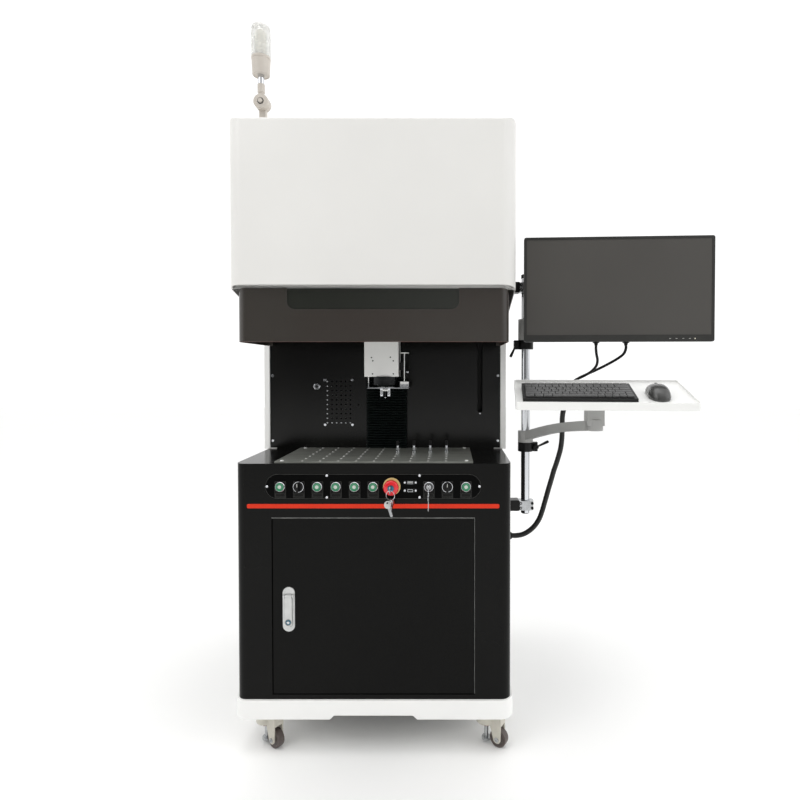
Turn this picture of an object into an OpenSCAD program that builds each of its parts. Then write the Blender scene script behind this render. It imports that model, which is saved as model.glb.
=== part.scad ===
// Laser marking machine: cabinet on casters, marking chamber with a lift shield,
// a height-adjustable marking head, a signal lamp, and a side mast that carries
// a monitor and a keyboard tray. Millimetres, +Z up, front towards -Y.

/* [Base cabinet] */
// Width of the black base cabinet
base_w = 760; // [720:5:840]
// Depth of the black base cabinet
base_d = 800; // [740:5:960]
// Height of the black base cabinet above the plinth
base_h = 654; // [640:2:760]
// Radius of the upright edges of the cabinet and the lift shield
corner_r = 26; // [18:1:36]
// Thickness of the cabinet and housing sheet
sheet_t = 3; // [2:0.5:4]
// Height of the white plinth frame
plinth_h = 53; // [45:1:70]
// How far the plinth stands out past the cabinet
plinth_out = 7.5; // [4:0.5:12]
// Width of the flanges of the plinth's channel section
plinth_flange = 112; // [108:1:130]

/* [Casters] */
// Height from the floor to the plinth
caster_h = 105; // [100:1:120]
// Wheel diameter
wheel_d = 50; // [44:1:52]
// Wheel width
wheel_w = 22; // [16:1:24]
// Distance of each swivel axis from the cabinet's sides
caster_inset = 64; // [58:1:76]
// Distance from the swivel axis to the wheel axle
caster_trail = 40; // [40:1:46]

/* [Cabinet door] */
// Width of the door opening
door_open_w = 560; // [480:5:600]
// Height of the door opening
door_open_h = 492; // [420:2:496]
// Gap between the door and its opening
door_gap = 3; // [2.5:0.5:4]
// Depth of the door's folded edges
door_fold = 20; // [16:1:26]

/* [Control panel] */
// Length of the round-ended control panel
panel_w = 594; // [570:2:640]
// Height of the control panel
panel_h = 69; // [62:1:76]
// Spacing of the controls
control_pitch = 51; // [48:0.5:52]
// Height of the control row below the cabinet's top
control_drop = 63; // [58:1:66]
// Push button travel
button_travel = 3; // [2:0.5:4]

/* [Work table] */
// Width of the work table
table_w = 550; // [500:5:600]
// Depth of the work table
table_d = 276; // [270:1:278]
// Thickness of the work table
table_t = 12; // [8:1:16]
// How far the work table stands above the cabinet's top
table_rise = 4; // [2:1:8]
// Spacing of the fixture holes across the table
hole_pitch = 50; // [40:1:50]
// Spacing of the fixture holes from front to back
row_pitch = 42; // [36:1:42]
// Core diameter of the fixture holes
hole_d = 5; // [4:0.1:7]
// Height of the locating pins
pin_h = 35; // [20:1:45]

/* [Upper housing] */
// Width of the white upper housing
hood_w = 785; // [770:1:880]
// Height of the housing above the cabinet
hood_h = 938; // [920:2:1000]
// Height of the open front below the housing
hood_clear = 488; // [470:2:500]
// How far the housing stands out in front of the cabinet
hood_out = 18; // [14:1:24]
// Radius of the housing's upright front edges
hood_r = 40; // [30:1:48]
// Distance of the chamber's back wall from the cabinet's front
wall_y = 290; // [290:1:320]

/* [Lift shield] */
// Width of the lift shield
shield_w = 750; // [730:1:756]
// Height of the lift shield
shield_h = 518; // [480:2:540]
// Travel of the lift shield down to the cabinet's top
shield_travel = 334; // [300:1:340]
// Width of the viewing window
window_w = 472; // [400:2:520]
// Height of the viewing window
window_h = 370; // [300:2:390]

/* [Marking head] */
// Width of the scan head
head_w = 105; // [90:1:120]
// Height of the scan head
head_h = 125; // [110:1:140]
// Depth of the scan head
head_d = 76; // [70:1:84]
// Height of the scan head's underside above the work table
head_clear = 232; // [210:1:240]
// Diameter of the scan lens
lens_d = 84; // [60:1:94]
// Diameter of the lifting screw
screw_d = 16; // [12:1:20]
// Width of the pleated slot cover
bellows_w = 130; // [110:1:150]

/* [Signal lamp] */
// Diameter of the lamp's body and lens
lamp_d = 52; // [40:1:60]
// Height of the lamp's lens
lamp_lens_h = 86; // [60:1:110]
// Height of the lamp's lower body
lamp_body_h = 50; // [40:1:90]
// Length of the lamp's pole
lamp_pole_h = 24; // [15:1:120]

/* [Mast and arms] */
// Diameter of the mast
mast_d = 28; // [24:1:32]
// Distance of the mast from the cabinet's side
mast_off = 72; // [68:1:90]
// Distance of the mast from the cabinet's front
mast_y = 250; // [235:1:265]
// Width of the monitor
monitor_w = 540; // [480:5:560]
// Height of the monitor
monitor_h = 302; // [280:2:320]
// Width of the keyboard tray
tray_w = 478; // [440:2:480]
// Depth of the keyboard tray
tray_d = 218; // [200:2:230]

/* [Hidden] */
$fn = 64;

// Clearances
fit = 0.05;         // radial clearance of shafts and pins in their bores
slip = 0.3;         // clearance between faces that pass each other
cut = 1;            // how far cutting shapes run past what they cut

// Levels
base_z = caster_h + plinth_h;
top_z = base_z + base_h;
table_z = top_z + table_rise;
roof_z = top_z + hood_h;
hood_z = top_z + hood_clear;

// Colours
white_paint = [0.88, 0.88, 0.86];
black_paint = [0.10, 0.10, 0.11];
glossy_black = [0.06, 0.06, 0.07];
grey_plate = [0.45, 0.46, 0.46];
chrome_tone = [0.78, 0.79, 0.81];
dark_plastic = [0.13, 0.13, 0.14];
red_paint = [0.88, 0.16, 0.10];
green_ring = [0.10, 0.62, 0.36];
lamp_beige = [0.80, 0.77, 0.70];
light_grey = [0.68, 0.69, 0.70];

// ---------- shared shapes ----------

// Rectangle with rounded corners, centred
module round_rect(w, d, r) {
    square([w - 2 * r, d], center = true);
    square([w, d - 2 * r], center = true);
    for (sx = [-1, 1], sy = [-1, 1])
        translate([sx * (w / 2 - r), sy * (d / 2 - r)])
            circle(r);
}

// Rectangle from corner a to corner b whose front and rear corners are rounded
module plan_rect(x0, y0, x1, y1, front_r, rear_r) {
    square_from(x0, y0 + front_r, x1, y1 - rear_r);
    square_from(x0 + front_r, y0, x1 - front_r, y0 + front_r + cut);
    square_from(x0 + rear_r, y1 - rear_r - cut, x1 - rear_r, y1);
    for (x = [x0 + front_r, x1 - front_r])
        translate([x, y0 + front_r])
            circle(front_r);
    for (x = [x0 + rear_r, x1 - rear_r])
        translate([x, y1 - rear_r])
            circle(rear_r);
}

module square_from(x0, y0, x1, y1) {
    translate([x0, y0])
        square([x1 - x0, y1 - y0]);
}

// Box from one corner to the other
module box_from(a, b) {
    translate(a)
        cube(b - a);
}

// Slab standing across the machine: its plan is drawn in X and Z, and it runs from y0 to y1
module across(y0, y1) {
    translate([0, y1, 0])
        rotate([90, 0, 0])
            linear_extrude(y1 - y0)
                children();
}

// Slab whose outline is drawn in Y and Z, running from x0 to x1
module along_side(x0, x1) {
    translate([x0, 0, 0])
        rotate([90, 0, 90])
            linear_extrude(x1 - x0)
                children();
}

// Rod along Y with its front end at y0
module rod_y(x, z, y0, y1, r) {
    translate([x, y0, z])
        rotate([-90, 0, 0])
            cylinder(h = y1 - y0, r = r);
}

// Rod along X
module rod_x(y, z, x0, x1, r) {
    translate([x0, y, z])
        rotate([0, 90, 0])
            cylinder(h = x1 - x0, r = r);
}

// Rod along Z
module rod_z(x, y, z0, z1, r) {
    translate([x, y, z0])
        cylinder(h = z1 - z0, r = r);
}

// Pan-head screw on a front face at y, its head standing towards -Y
module front_screw(x, z, y, head_r, head_h) {
    rod_y(x, z, y - head_h, y, head_r);
}

// ---------- base ----------

plinth_w = base_w + 2 * plinth_out;
plinth_d = base_d + 2 * plinth_out;
plinth_r = corner_r + plinth_out + 4.5;
recess_w = 240;
recess_h = 11;

module plinth() {
    inner_w = plinth_w - 2 * plinth_flange;
    inner_d = plinth_d - 2 * plinth_flange;
    color(white_paint)
        translate([0, base_d / 2, caster_h])
            difference() {
                linear_extrude(plinth_h)
                    difference() {
                        round_rect(plinth_w, plinth_d, plinth_r);
                        square([inner_w, inner_d], center = true);
                    }
                // the channel is open towards the middle of the frame
                translate([0, 0, sheet_t])
                    linear_extrude(plinth_h - 2 * sheet_t)
                        round_rect(plinth_w - 2 * sheet_t, plinth_d - 2 * sheet_t, plinth_r - sheet_t);
                // shallow recess in the middle of the front and rear skirts
                rotate([90, 0, 0])
                    translate([0, 0, -plinth_d / 2 - cut])
                        linear_extrude(plinth_d + 2 * cut)
                            polygon([
                                [-recess_w / 2, -cut], [recess_w / 2, -cut], [recess_w / 2, 0],
                                [recess_w / 2 - recess_h, recess_h], [-recess_w / 2 + recess_h, recess_h],
                                [-recess_w / 2, 0]
                            ]);
            }
}

door_top_z = top_z - 149;
door_z0 = door_top_z - door_open_h;
door_half = door_open_w / 2;
stop_lip = 12;
stop_y = door_fold + 2;
panel_z = top_z - control_drop;
panel_face_y = 0.5;
panel_t = sheet_t - panel_face_y;
gland_y = 245;
gland_z = caster_h + 435;
gland_r = 11;

// Stadium outline of the control panel, grown by g
module panel_outline(g) {
    translate([0, panel_z])
        round_rect(panel_w + 2 * g, panel_h + 2 * g, panel_h / 2 + g - 0.01);
}

module door_outline(g) {
    translate([0, door_z0 + door_open_h / 2])
        square([door_open_w + 2 * g, door_open_h + 2 * g], center = true);
}

module cabinet_shell() {
    color(black_paint)
        difference() {
            union() {
                difference() {
                    translate([0, base_d / 2, base_z])
                        linear_extrude(base_h)
                            round_rect(base_w, base_d, corner_r);
                    translate([0, base_d / 2, base_z + sheet_t])
                        linear_extrude(base_h - 2 * sheet_t)
                            round_rect(base_w - 2 * sheet_t, base_d - 2 * sheet_t, corner_r - sheet_t);
                }
                // frame behind the door with a stop lip
                across(sheet_t - cut, stop_y + sheet_t)
                    door_outline(sheet_t);
                // rebate behind the control panel
                across(sheet_t - cut, 2 * sheet_t)
                    panel_outline(8);
                // well that the work table lies in
                box_from([-well_x - sheet_t, table_y0 - slip - sheet_t, table_z - table_t - sheet_t],
                    [well_x + sheet_t, table_y0 + table_d + slip + sheet_t, top_z - cut]);
            }
            box_from([-well_x, table_y0 - slip, table_z - table_t],
                [well_x, table_y0 + table_d + slip, top_z + cut]);
            across(-cut, stop_y)
                door_outline(0);
            across(stop_y - cut, stop_y + sheet_t + cut)
                door_outline(-stop_lip);
            across(-cut, sheet_t)
                panel_outline(slip);
            across(sheet_t - cut, 2 * sheet_t + cut)
                panel_outline(-8);
            // cable entry on the right-hand side
            rod_x(gland_y, gland_z, base_w / 2 - sheet_t - cut, base_w / 2 + cut, gland_r + fit);
            // mains entry at the rear
            rod_y(inlet_x, inlet_z, base_d - sheet_t - cut, base_d + cut, gland_r + fit);
            rear_vents();
        }
    // hinge pins of the door
    color(black_paint)
        for (z = [door_z0 - cut, door_top_z - door_gap - hinge_block_h + 4])
            rod_z(hinge_x, hinge_y, z, z + door_gap + hinge_block_h - 3, hinge_pin_r);
}

well_x = table_w / 2 + slip;
inlet_x = -base_w / 2 + 90;
inlet_z = base_z + 60;
vent_rows = 9;
vent_pitch = 14;

// Two fields of slots low in the rear wall
module rear_vents() {
    for (x = [-180, 180], i = [0:vent_rows - 1])
        translate([x, 0, base_z + 120 + i * vent_pitch])
            box_from([-80, base_d - sheet_t - cut, -3], [80, base_d + cut, 3]);
}

// ---------- casters ----------

caster_x = base_w / 2 - caster_inset;
caster_y0 = caster_inset - 2;
caster_places = [
    [-caster_x, caster_y0, -35], [caster_x, caster_y0, -30],
    [-caster_x, base_d - caster_y0, 20], [caster_x, base_d - caster_y0, 10]
];
plate_w = 70;
plate_t = 5;
stem_r = 6;
dial_r = 18;
pad_r = 13.5;
wheel_r = wheel_d / 2;
fork_top_z = caster_h - plate_t - slip;
cheek_t = 4.5;
axle_r = 4;

// Plate, stem, levelling dial and foot of the four casters
module caster_plates() {
    for (p = caster_places)
        translate([p[0], p[1], 0]) {
            color(chrome_tone)
                difference() {
                    union() {
                        translate([0, 0, caster_h - plate_t])
                            linear_extrude(plate_t)
                                round_rect(plate_w, plate_w, 8);
                        rod_z(0, 0, 14, caster_h - plate_t, stem_r);
                    }
                    for (sx = [-1, 1], sy = [-1, 1])
                        rod_z(sx * 26, sy * 26, caster_h - plate_t - cut, caster_h + cut, 3.3);
                }
            color([0.45, 0.10, 0.12])
                difference() {
                    rod_z(0, 0, wheel_d + 1.5, wheel_d + 11.5, dial_r);
                    rod_z(0, 0, wheel_d, wheel_d + 13, stem_r + fit);
                }
            color(dark_plastic)
                rod_z(0, 0, 8, 14, pad_r);
        }
}

module caster_fork(i) {
    p = caster_places[i];
    gap = wheel_w / 2 + 0.8;
    hub_z0 = wheel_d + 13;
    color([0.86, 0.84, 0.78])
        translate([p[0], p[1], 0])
            rotate([0, 0, p[2]])
                difference() {
                    union() {
                        rod_z(0, 0, hub_z0, fork_top_z, 30);
                        // two cheeks that reach down to the axle
                        for (s = [-1, 1])
                            translate([0, s * (gap + cheek_t / 2) + cheek_t / 2, 0])
                                rotate([90, 0, 0])
                                    linear_extrude(cheek_t)
                                        cheek_outline(hub_z0);
                        fork_axle(gap);
                        // crown above the wheel
                        box_from([0, -gap - cheek_t, hub_z0], [caster_trail + 12, gap + cheek_t, fork_top_z - 8]);
                    }
                    rod_z(0, 0, hub_z0 - cut, fork_top_z + cut, stem_r + fit);
                }
}

module fork_axle(gap) {
    translate([caster_trail, -gap - cut, wheel_r])
        rotate([-90, 0, 0])
            cylinder(h = 2 * gap + 2 * cut, r = axle_r);
}

// Side outline of a fork cheek: a bar from the hub down to a round axle boss
module cheek_outline(hub_z0) {
    translate([caster_trail, wheel_r])
        circle(11);
    polygon([
        [caster_trail - 11, wheel_r], [caster_trail + 11, wheel_r],
        [caster_trail + 12, hub_z0 + 14], [10, hub_z0 + 14], [18, hub_z0]
    ]);
}

module caster_wheel(i) {
    p = caster_places[i];
    edge = 3;
    color([0.42, 0.38, 0.36])
        translate([p[0], p[1], 0])
            rotate([0, 0, p[2]])
                translate([caster_trail, wheel_w / 2, wheel_r])
                    rotate([90, 0, 0])
                        rotate_extrude()
                            polygon([
                                [axle_r + fit, 0], [wheel_r - edge, 0], [wheel_r, edge],
                                [wheel_r, wheel_w - edge], [wheel_r - edge, wheel_w], [axle_r + fit, wheel_w]
                            ]);
}

// ---------- door ----------

hinge_x = door_half - door_gap - 5;
hinge_y = 5;
hinge_pin_r = 3;
hinge_block_h = 24;
door_edge_x = door_half - door_gap;
lock_x = -233;
lock_z = top_z - 402;
lever_top_z = lock_z + 38;
lever_axis_y = -6.5;
lock_key_z = lock_z - 34;
lock_key_r = 7.5;

module cabinet_door() {
    z0 = door_z0 + door_gap;
    z1 = door_top_z - door_gap;
    color(black_paint)
        difference() {
            union() {
                difference() {
                    box_from([-door_edge_x, 0, z0], [door_edge_x, door_fold, z1]);
                    box_from([-door_edge_x + 2, 2, z0 + 2], [door_edge_x - 2, door_fold + cut, z1 - 2]);
                }
                // hinge blocks in the right-hand corners
                for (z = [z0, z1 - hinge_block_h])
                    box_from([door_edge_x - 22, 1, z], [door_edge_x, 16, z + hinge_block_h]);
            }
            for (z = [z0, z1 - hinge_block_h])
                rod_z(hinge_x, hinge_y, z - cut, z + hinge_block_h + cut, hinge_pin_r + fit);
            // cut-out for the lock
            across(-cut, 3)
                translate([lock_x, lock_z])
                    square([22, 96], center = true);
        }
}

// Oval lock plate with a housing behind the door skin
module lock_body() {
    color(chrome_tone)
        difference() {
            union() {
                across(-3, 0)
                    translate([lock_x, lock_z])
                        round_rect(33, 123, 16.45);
                across(-cut, 14)
                    translate([lock_x, lock_z])
                        square([22 - 2 * slip, 96 - 2 * slip], center = true);
                for (s = [-1, 1])
                    box_from(
                        [lock_x + s * 13 - 2, -9, lever_top_z - 4],
                        [lock_x + s * 13 + 2, -3 + cut, lever_top_z + 4]
                    );
            }
            rod_y(lock_x, lock_key_z, -3 - cut, 14 + cut, lock_key_r + fit);
            rod_x(lever_axis_y, lever_top_z, lock_x - 20, lock_x + 20, 1.5 + fit);
        }
}

// Pull lever hinged at its top; its lower end surrounds the key cylinder
module lock_lever() {
    color([0.55, 0.56, 0.58])
        difference() {
            union() {
                across(-9, -3.6)
                    translate([lock_x, (lever_top_z + lock_key_z - 12) / 2])
                        round_rect(20, lever_top_z - lock_key_z + 12, 8);
                rod_x(lever_axis_y, lever_top_z, lock_x - 10, lock_x + 10, 2.9);
                rod_x(lever_axis_y, lever_top_z, lock_x - 14.5, lock_x + 14.5, 1.5);
            }
            rod_y(lock_x, lock_key_z, -10, -2, lock_key_r + 1);
        }
}

// Key cylinder with the latch cam behind the door; the cam hangs down when unlocked
module latch_cam() {
    cam_y = stop_y + sheet_t + 1;
    color([0.20, 0.45, 0.52])
        difference() {
            rod_y(lock_x, lock_key_z, -8, cam_y + 3, lock_key_r);
            box_from([lock_x - 0.8, -8 - cut, lock_key_z - 4], [lock_x + 0.8, -4, lock_key_z + 4]);
        }
    color(chrome_tone)
        across(cam_y, cam_y + 3)
            difference() {
                union() {
                    translate([lock_x, lock_key_z])
                        circle(13);
                    square_from(lock_x - 8, lock_key_z - 42, lock_x + 8, lock_key_z);
                }
                translate([lock_x, lock_key_z])
                    circle(lock_key_r);
            }
}

// ---------- stripe and control panel ----------

stripe_w = 694;
stripe_h = 12;

module trim_stripe() {
    color(red_paint)
        across(-1.5, 0)
            translate([0, top_z - 117])
                round_rect(stripe_w, stripe_h, 4);
}

// Places along the row, in steps of the control pitch
button_slots = [-5, -3, -2, -1, 0, 5];
selector_slots = [-4, 4];
estop_slot = 1;
usb_slot = 2;
key_slot = 3;
barrel_r = 11;
barrel_hole_r = barrel_r + 0.2;
legend_y = panel_face_y - 1.5;
bezel_y = legend_y - 6;
barrel_end = 34;
housing_slots = concat(button_slots, selector_slots, [estop_slot, key_slot]);
panel_screws = [
    [-panel_w / 2 + 5, 0], [panel_w / 2 - 5, 0],
    [-2.5 * control_pitch, 1], [-2.5 * control_pitch, -1],
    [2.5 * control_pitch, 1], [2.5 * control_pitch, -1]
];
screw_row = panel_h / 2 - 4.5;

module control_panel() {
    color(glossy_black)
        difference() {
            across(panel_face_y, sheet_t)
                panel_outline(0);
            for (s = housing_slots)
                rod_y(s * control_pitch, panel_z, -cut, sheet_t + cut, barrel_hole_r);
            for (dz = [-11, 11])
                box_from(
                    [usb_slot * control_pitch - 9, -cut, panel_z + dz - 5],
                    [usb_slot * control_pitch + 9, sheet_t + cut, panel_z + dz + 5]
                );
        }
}

// Fixed housing of one control: front ring, barrel and contact block behind the panel
module control_housing(slot, ring_r, bore_r) {
    x = slot * control_pitch;
    color(chrome_tone)
        difference() {
            union() {
                rod_y(x, panel_z, bezel_y, legend_y, ring_r);
                rod_y(x, panel_z, legend_y - cut, barrel_end, barrel_r);
                box_from([x - 14, barrel_end - 6, panel_z - 14], [x + 14, barrel_end + 26, panel_z + 14]);
            }
            rod_y(x, panel_z, bezel_y - cut, legend_y, bore_r);
            rod_y(x, panel_z, bezel_y - cut, barrel_end - 8, 9);
        }
}

// Legend plate with a blank field below the control
module legend_plate(slot) {
    x = slot * control_pitch;
    color(dark_plastic)
        difference() {
            across(legend_y, panel_face_y)
                translate([x, panel_z - 9])
                    round_rect(34, 46, 2);
            rod_y(x, panel_z, legend_y - cut, panel_face_y + cut, barrel_hole_r);
        }
}

module usb_port(dz) {
    x = usb_slot * control_pitch;
    color(dark_plastic)
        difference() {
            union() {
                across(panel_face_y - 2, panel_face_y)
                    translate([x, panel_z + dz])
                        round_rect(38, 12, 3);
                box_from([x - 8.7, panel_face_y - 1, panel_z + dz - 4.7], [x + 8.7, 30, panel_z + dz + 4.7]);
            }
            box_from([x - 6.5, panel_face_y - 2 - cut, panel_z + dz - 2.5], [x + 6.5, 14, panel_z + dz + 2.5]);
        }
    color(chrome_tone)
        for (s = [-1, 1])
            front_screw(x + s * 15, panel_z + dz, panel_face_y - 2, 2.6, 1.4);
}

module control_fittings() {
    for (s = button_slots)
        control_housing(s, 14.5, 11.4);
    for (s = selector_slots)
        control_housing(s, 15.7, 13);
    control_housing(key_slot, 14.5, 11.4);
    estop_housing();
    for (s = concat(button_slots, selector_slots, [key_slot]))
        legend_plate(s);
    for (dz = [-11, 11])
        usb_port(dz);
    color(chrome_tone)
        for (p = panel_screws)
            front_screw(p[0], panel_z + p[1] * screw_row, panel_face_y, 3.6, 1.8);
}

// Yellow collar of the emergency stop with its barrel
module estop_housing() {
    x = estop_slot * control_pitch;
    color([0.93, 0.80, 0.42])
        difference() {
            union() {
                rod_y(x, panel_z, legend_y - 1, panel_face_y, 24);
                rod_y(x, panel_z, panel_face_y - cut, barrel_end, barrel_r);
                box_from([x - 14, barrel_end - 6, panel_z - 14], [x + 14, barrel_end + 26, panel_z + 14]);
            }
            rod_y(x, panel_z, legend_y - 1 - cut, barrel_end - 8, 9);
        }
}

module push_button(i) {
    x = button_slots[i - 1] * control_pitch;
    cap_back = legend_y - button_travel - 0.5;
    color(green_ring)
        union() {
            rod_y(x, panel_z, bezel_y - 2.5, cap_back, 11.1);
            rod_y(x, panel_z, cap_back - cut, barrel_end - 8 - button_travel - 1, 8.7);
        }
}

module selector(i) {
    x = selector_slots[i - 1] * control_pitch;
    color(dark_plastic)
        union() {
            rod_y(x, panel_z, bezel_y - 3, legend_y - 1, 12.6);
            rod_y(x, panel_z, legend_y - 1 - cut, 18, 8.7);
            box_from([x - 3.5, bezel_y - 14, panel_z - 12], [x + 3.5, bezel_y - 2, panel_z + 12]);
        }
}

module key_switch() {
    x = key_slot * control_pitch;
    color(chrome_tone)
        union() {
            rod_y(x, panel_z, bezel_y - 3, legend_y - 1, 10.8);
            rod_y(x, panel_z, legend_y - 1 - cut, 18, 8.7);
            // key, edge on to the front
            along_side(x - 1.1, x + 1.1)
                difference() {
                    union() {
                        square_from(bezel_y - 14, panel_z - 4, bezel_y - 2, panel_z + 4);
                        translate([bezel_y - 22, panel_z])
                            circle(11);
                    }
                    translate([bezel_y - 27, panel_z])
                        circle(2.5);
                }
        }
}

// Mushroom button with a key in its centre
module estop_button() {
    x = estop_slot * control_pitch;
    face = legend_y - 26;
    color(red_paint)
        difference() {
            translate([x, face, panel_z])
                rotate([-90, 0, 0])
                    rotate_extrude()
                        polygon([
                            [0, 0], [15, 0.6], [19, 2.6], [21, 6.5], [21, 12], [17, 16],
                            [11, 19.5], [8.7, 19.5], [8.7, 46], [0, 46]
                        ]);
            rod_y(x, panel_z, face - cut, face + 2, 8);
        }
    color([0.45, 0.62, 0.72])
        rod_y(x, panel_z, face - 1.5, face + 2, 7.95);
    color(chrome_tone)
        key_shape(x, face - 1.5, panel_z);
}

// Flat key standing out of a lock face, with a round bow
module key_shape(x, y, z) {
    along_side(x - 1.1, x + 1.1)
        difference() {
            union() {
                square_from(y - 8, z - 3.5, y, z + 3.5);
                translate([y - 15, z])
                    circle(9.5);
            }
            translate([y - 20, z])
                circle(2.5);
        }
}

// ---------- work table ----------

table_y0 = wall_y - 4 - table_d;
grid_cols = [-4:4];
grid_rows = [0:6];
grid_y = table_y0 + table_d / 2 - 2;

function row_y(i) = grid_y + (i - 3) * row_pitch;

module work_table() {
    slot_x = table_w / 2 - 18;
    color(grey_plate)
        difference() {
            box_from([-table_w / 2, table_y0, table_z - table_t], [table_w / 2, table_y0 + table_d, table_z]);
            for (c = grid_cols, r = grid_rows)
                rod_z(c * hole_pitch, row_y(r), table_z - table_t - cut, table_z + cut, hole_d / 2);
            // fixing slots in the corners
            for (s = [-1, 1], y = [table_y0 + 12, table_y0 + table_d - 14])
                translate([s * slot_x, y, table_z - table_t - cut])
                    slot_cutter(table_t + 2 * cut);
        }
}

module slot_cutter(h) {
    linear_extrude(h) {
        square([12, 6.4], center = true);
        for (dx = [-6, 6])
            translate([dx, 0])
                circle(3.2);
    }
}

// Four locating pins in the fifth fixture row
module locating_pins() {
    for (c = [1:4])
        translate([c * hole_pitch, row_y(4), 0]) {
            color(chrome_tone)
                union() {
                    rod_z(0, 0, table_z, table_z + 6, 6);
                    rod_z(0, 0, table_z + 5, table_z + pin_h * 0.6, 3.6);
                    rod_z(0, 0, table_z - 8, table_z + cut, hole_d / 2 - fit);
                }
            color(dark_plastic)
                rod_z(0, 0, table_z + pin_h * 0.6, table_z + pin_h, 4.6);
        }
}

// ---------- chamber wall and upper housing ----------

hood_in_x = hood_w / 2 - sheet_t;
side_return = 18;
wall_half = hood_in_x - slip;
flange_gap = base_w / 2 - 26;
slot_x = 308.5;
slot_w = 17;
slot_z0 = top_z + 118;
slot_z1 = top_z + 480;
perf_x0 = -189;
perf_pitch = 15;
perf_z0 = top_z + 84;

module chamber_wall() {
    color(black_paint)
        difference() {
            union() {
                box_from([-wall_half, wall_y, top_z + sheet_t], [wall_half, wall_y + sheet_t, roof_z - sheet_t - 4]);
                box_from([-flange_gap + slip, wall_y, top_z], [flange_gap - slip, wall_y + 30, top_z + sheet_t]);
            }
            // openings for the head carriage and for the shield bracket
            box_from([-arm_half - 3, wall_y - cut, carriage_arm_z0 - head_down - 6],
                [arm_half + 3, wall_y + sheet_t + cut, carriage_arm_z1 + head_up + 6]);
            across(wall_y - cut, wall_y + sheet_t + cut)
                translate([slot_x, (slot_z0 + slot_z1) / 2])
                    round_rect(slot_w, slot_z1 - slot_z0, slot_w / 2 - 0.01);
            // extraction field
            for (i = [0:5], j = [0:9])
                rod_y(perf_x0 + i * perf_pitch, perf_z0 + j * perf_pitch,
                    wall_y - cut, wall_y + sheet_t + cut, 2.6);
            rod_y(-88, top_z + 142, wall_y - cut, wall_y + sheet_t + cut, 3);
            rod_y(-222, top_z + 203, wall_y - cut, wall_y + sheet_t + cut, 7);
            // cut-outs for the foot of the axis frame and the shield post
            box_from([-foot_w / 2 - 1, wall_y + sheet_t + 1, top_z - cut], [foot_w / 2 + 1, wall_y + 31, top_z + 5]);
            box_from([slot_x - 40, wall_y + sheet_t + 1, top_z - cut], [slot_x + 40, wall_y + 31, top_z + 5]);
        }
    // screws and the round socket on the chamber side
    color(chrome_tone) {
        for (x = [-1, 1], z = [26, 238])
            front_screw(x * 367, top_z + z, wall_y, 4, 2);
        for (x = [perf_x0 - 7, perf_x0 + 5 * perf_pitch + 7], z = [perf_z0 - 6, perf_z0 + 9 * perf_pitch + 5])
            front_screw(x, z, wall_y, 4, 2);
        rod_y(-222, top_z + 203, wall_y - 4, wall_y, 10);
        rod_y(-222, top_z + 203, wall_y, wall_y + 16, 7 - fit);
    }
}

side_slope = 14.5;
side_fillet = 70;

// Side outline of the open front: cut away below the housing and in front of the side panels
module front_opening_outline() {
    y_back = wall_y - 6;
    y_front = -hood_out;
    drop = (y_back - y_front) * tan(side_slope);
    turn = 90 - side_slope;
    reach = side_fillet * tan(turn / 2);
    corner_z = hood_z - drop;
    cy = y_back - side_fillet;
    cz = corner_z - reach;
    steps = 8;
    polygon(concat(
        [[y_front - cut, top_z - cut], [y_back, top_z - cut]],
        [for (i = [0:steps])
            let (a = turn * i / steps)
            [cy + side_fillet * cos(a), cz + side_fillet * sin(a)]],
        [[y_front - cut, hood_z + cut * tan(side_slope)]]
    ));
}

module hood_plan(g) {
    plan_rect(-hood_w / 2 + g, -hood_out + g, hood_w / 2 - g, base_d - g, hood_r - g, 14 - g);
}

roof_edge_r = 10;

// Outline across the machine with rounded top edges
module roof_profile(half) {
    square_from(-half, top_z, half, roof_z - roof_edge_r);
    square_from(-half + roof_edge_r, roof_z - roof_edge_r - cut, half - roof_edge_r, roof_z);
    for (s = [-1, 1])
        translate([s * (half - roof_edge_r), roof_z - roof_edge_r])
            circle(roof_edge_r);
}

rear_open_w = 640;
rear_open_z0 = top_z + 60;
rear_open_z1 = roof_z - 70;

module upper_housing() {
    mid_y = (base_d - hood_out) / 2;
    color(white_paint)
        difference() {
            intersection() {
                translate([0, 0, top_z])
                    linear_extrude(hood_h)
                        hood_plan(0);
                across(-hood_out - cut, base_d + cut)
                    roof_profile(hood_w / 2);
                along_side(-hood_w / 2 - cut, hood_w / 2 + cut)
                    translate([mid_y, 0])
                        roof_profile((base_d + hood_out) / 2);
            }
            // inside of the shell above its bottom flange
            translate([0, 0, top_z + sheet_t])
                linear_extrude(hood_h - 2 * sheet_t)
                    hood_plan(sheet_t);
            // the bottom flange is open in the middle
            box_from([-flange_gap, -hood_out - cut, top_z - cut],
                [flange_gap, base_d - 26, top_z + 2 * sheet_t]);
            along_side(-hood_w / 2 - cut, hood_w / 2 + cut)
                front_opening_outline();
            across(base_d - sheet_t - cut, base_d + cut)
                square_from(-rear_open_w / 2, rear_open_z0, rear_open_w / 2, rear_open_z1);
        }
    // folded front edges of the side panels
    color(white_paint)
        for (s = [-1, 1])
            side_trim(s);
}

// Folded strip beside the chamber wall that closes the front edge of a side panel
module side_trim(s) {
    x_out = s * hood_in_x;
    x_in = s * (hood_in_x - side_return + sheet_t);
    box_from([min(x_out, x_in), wall_y - 6, top_z + sheet_t], [max(x_out, x_in), wall_y, hood_z - 140]);
}

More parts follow.
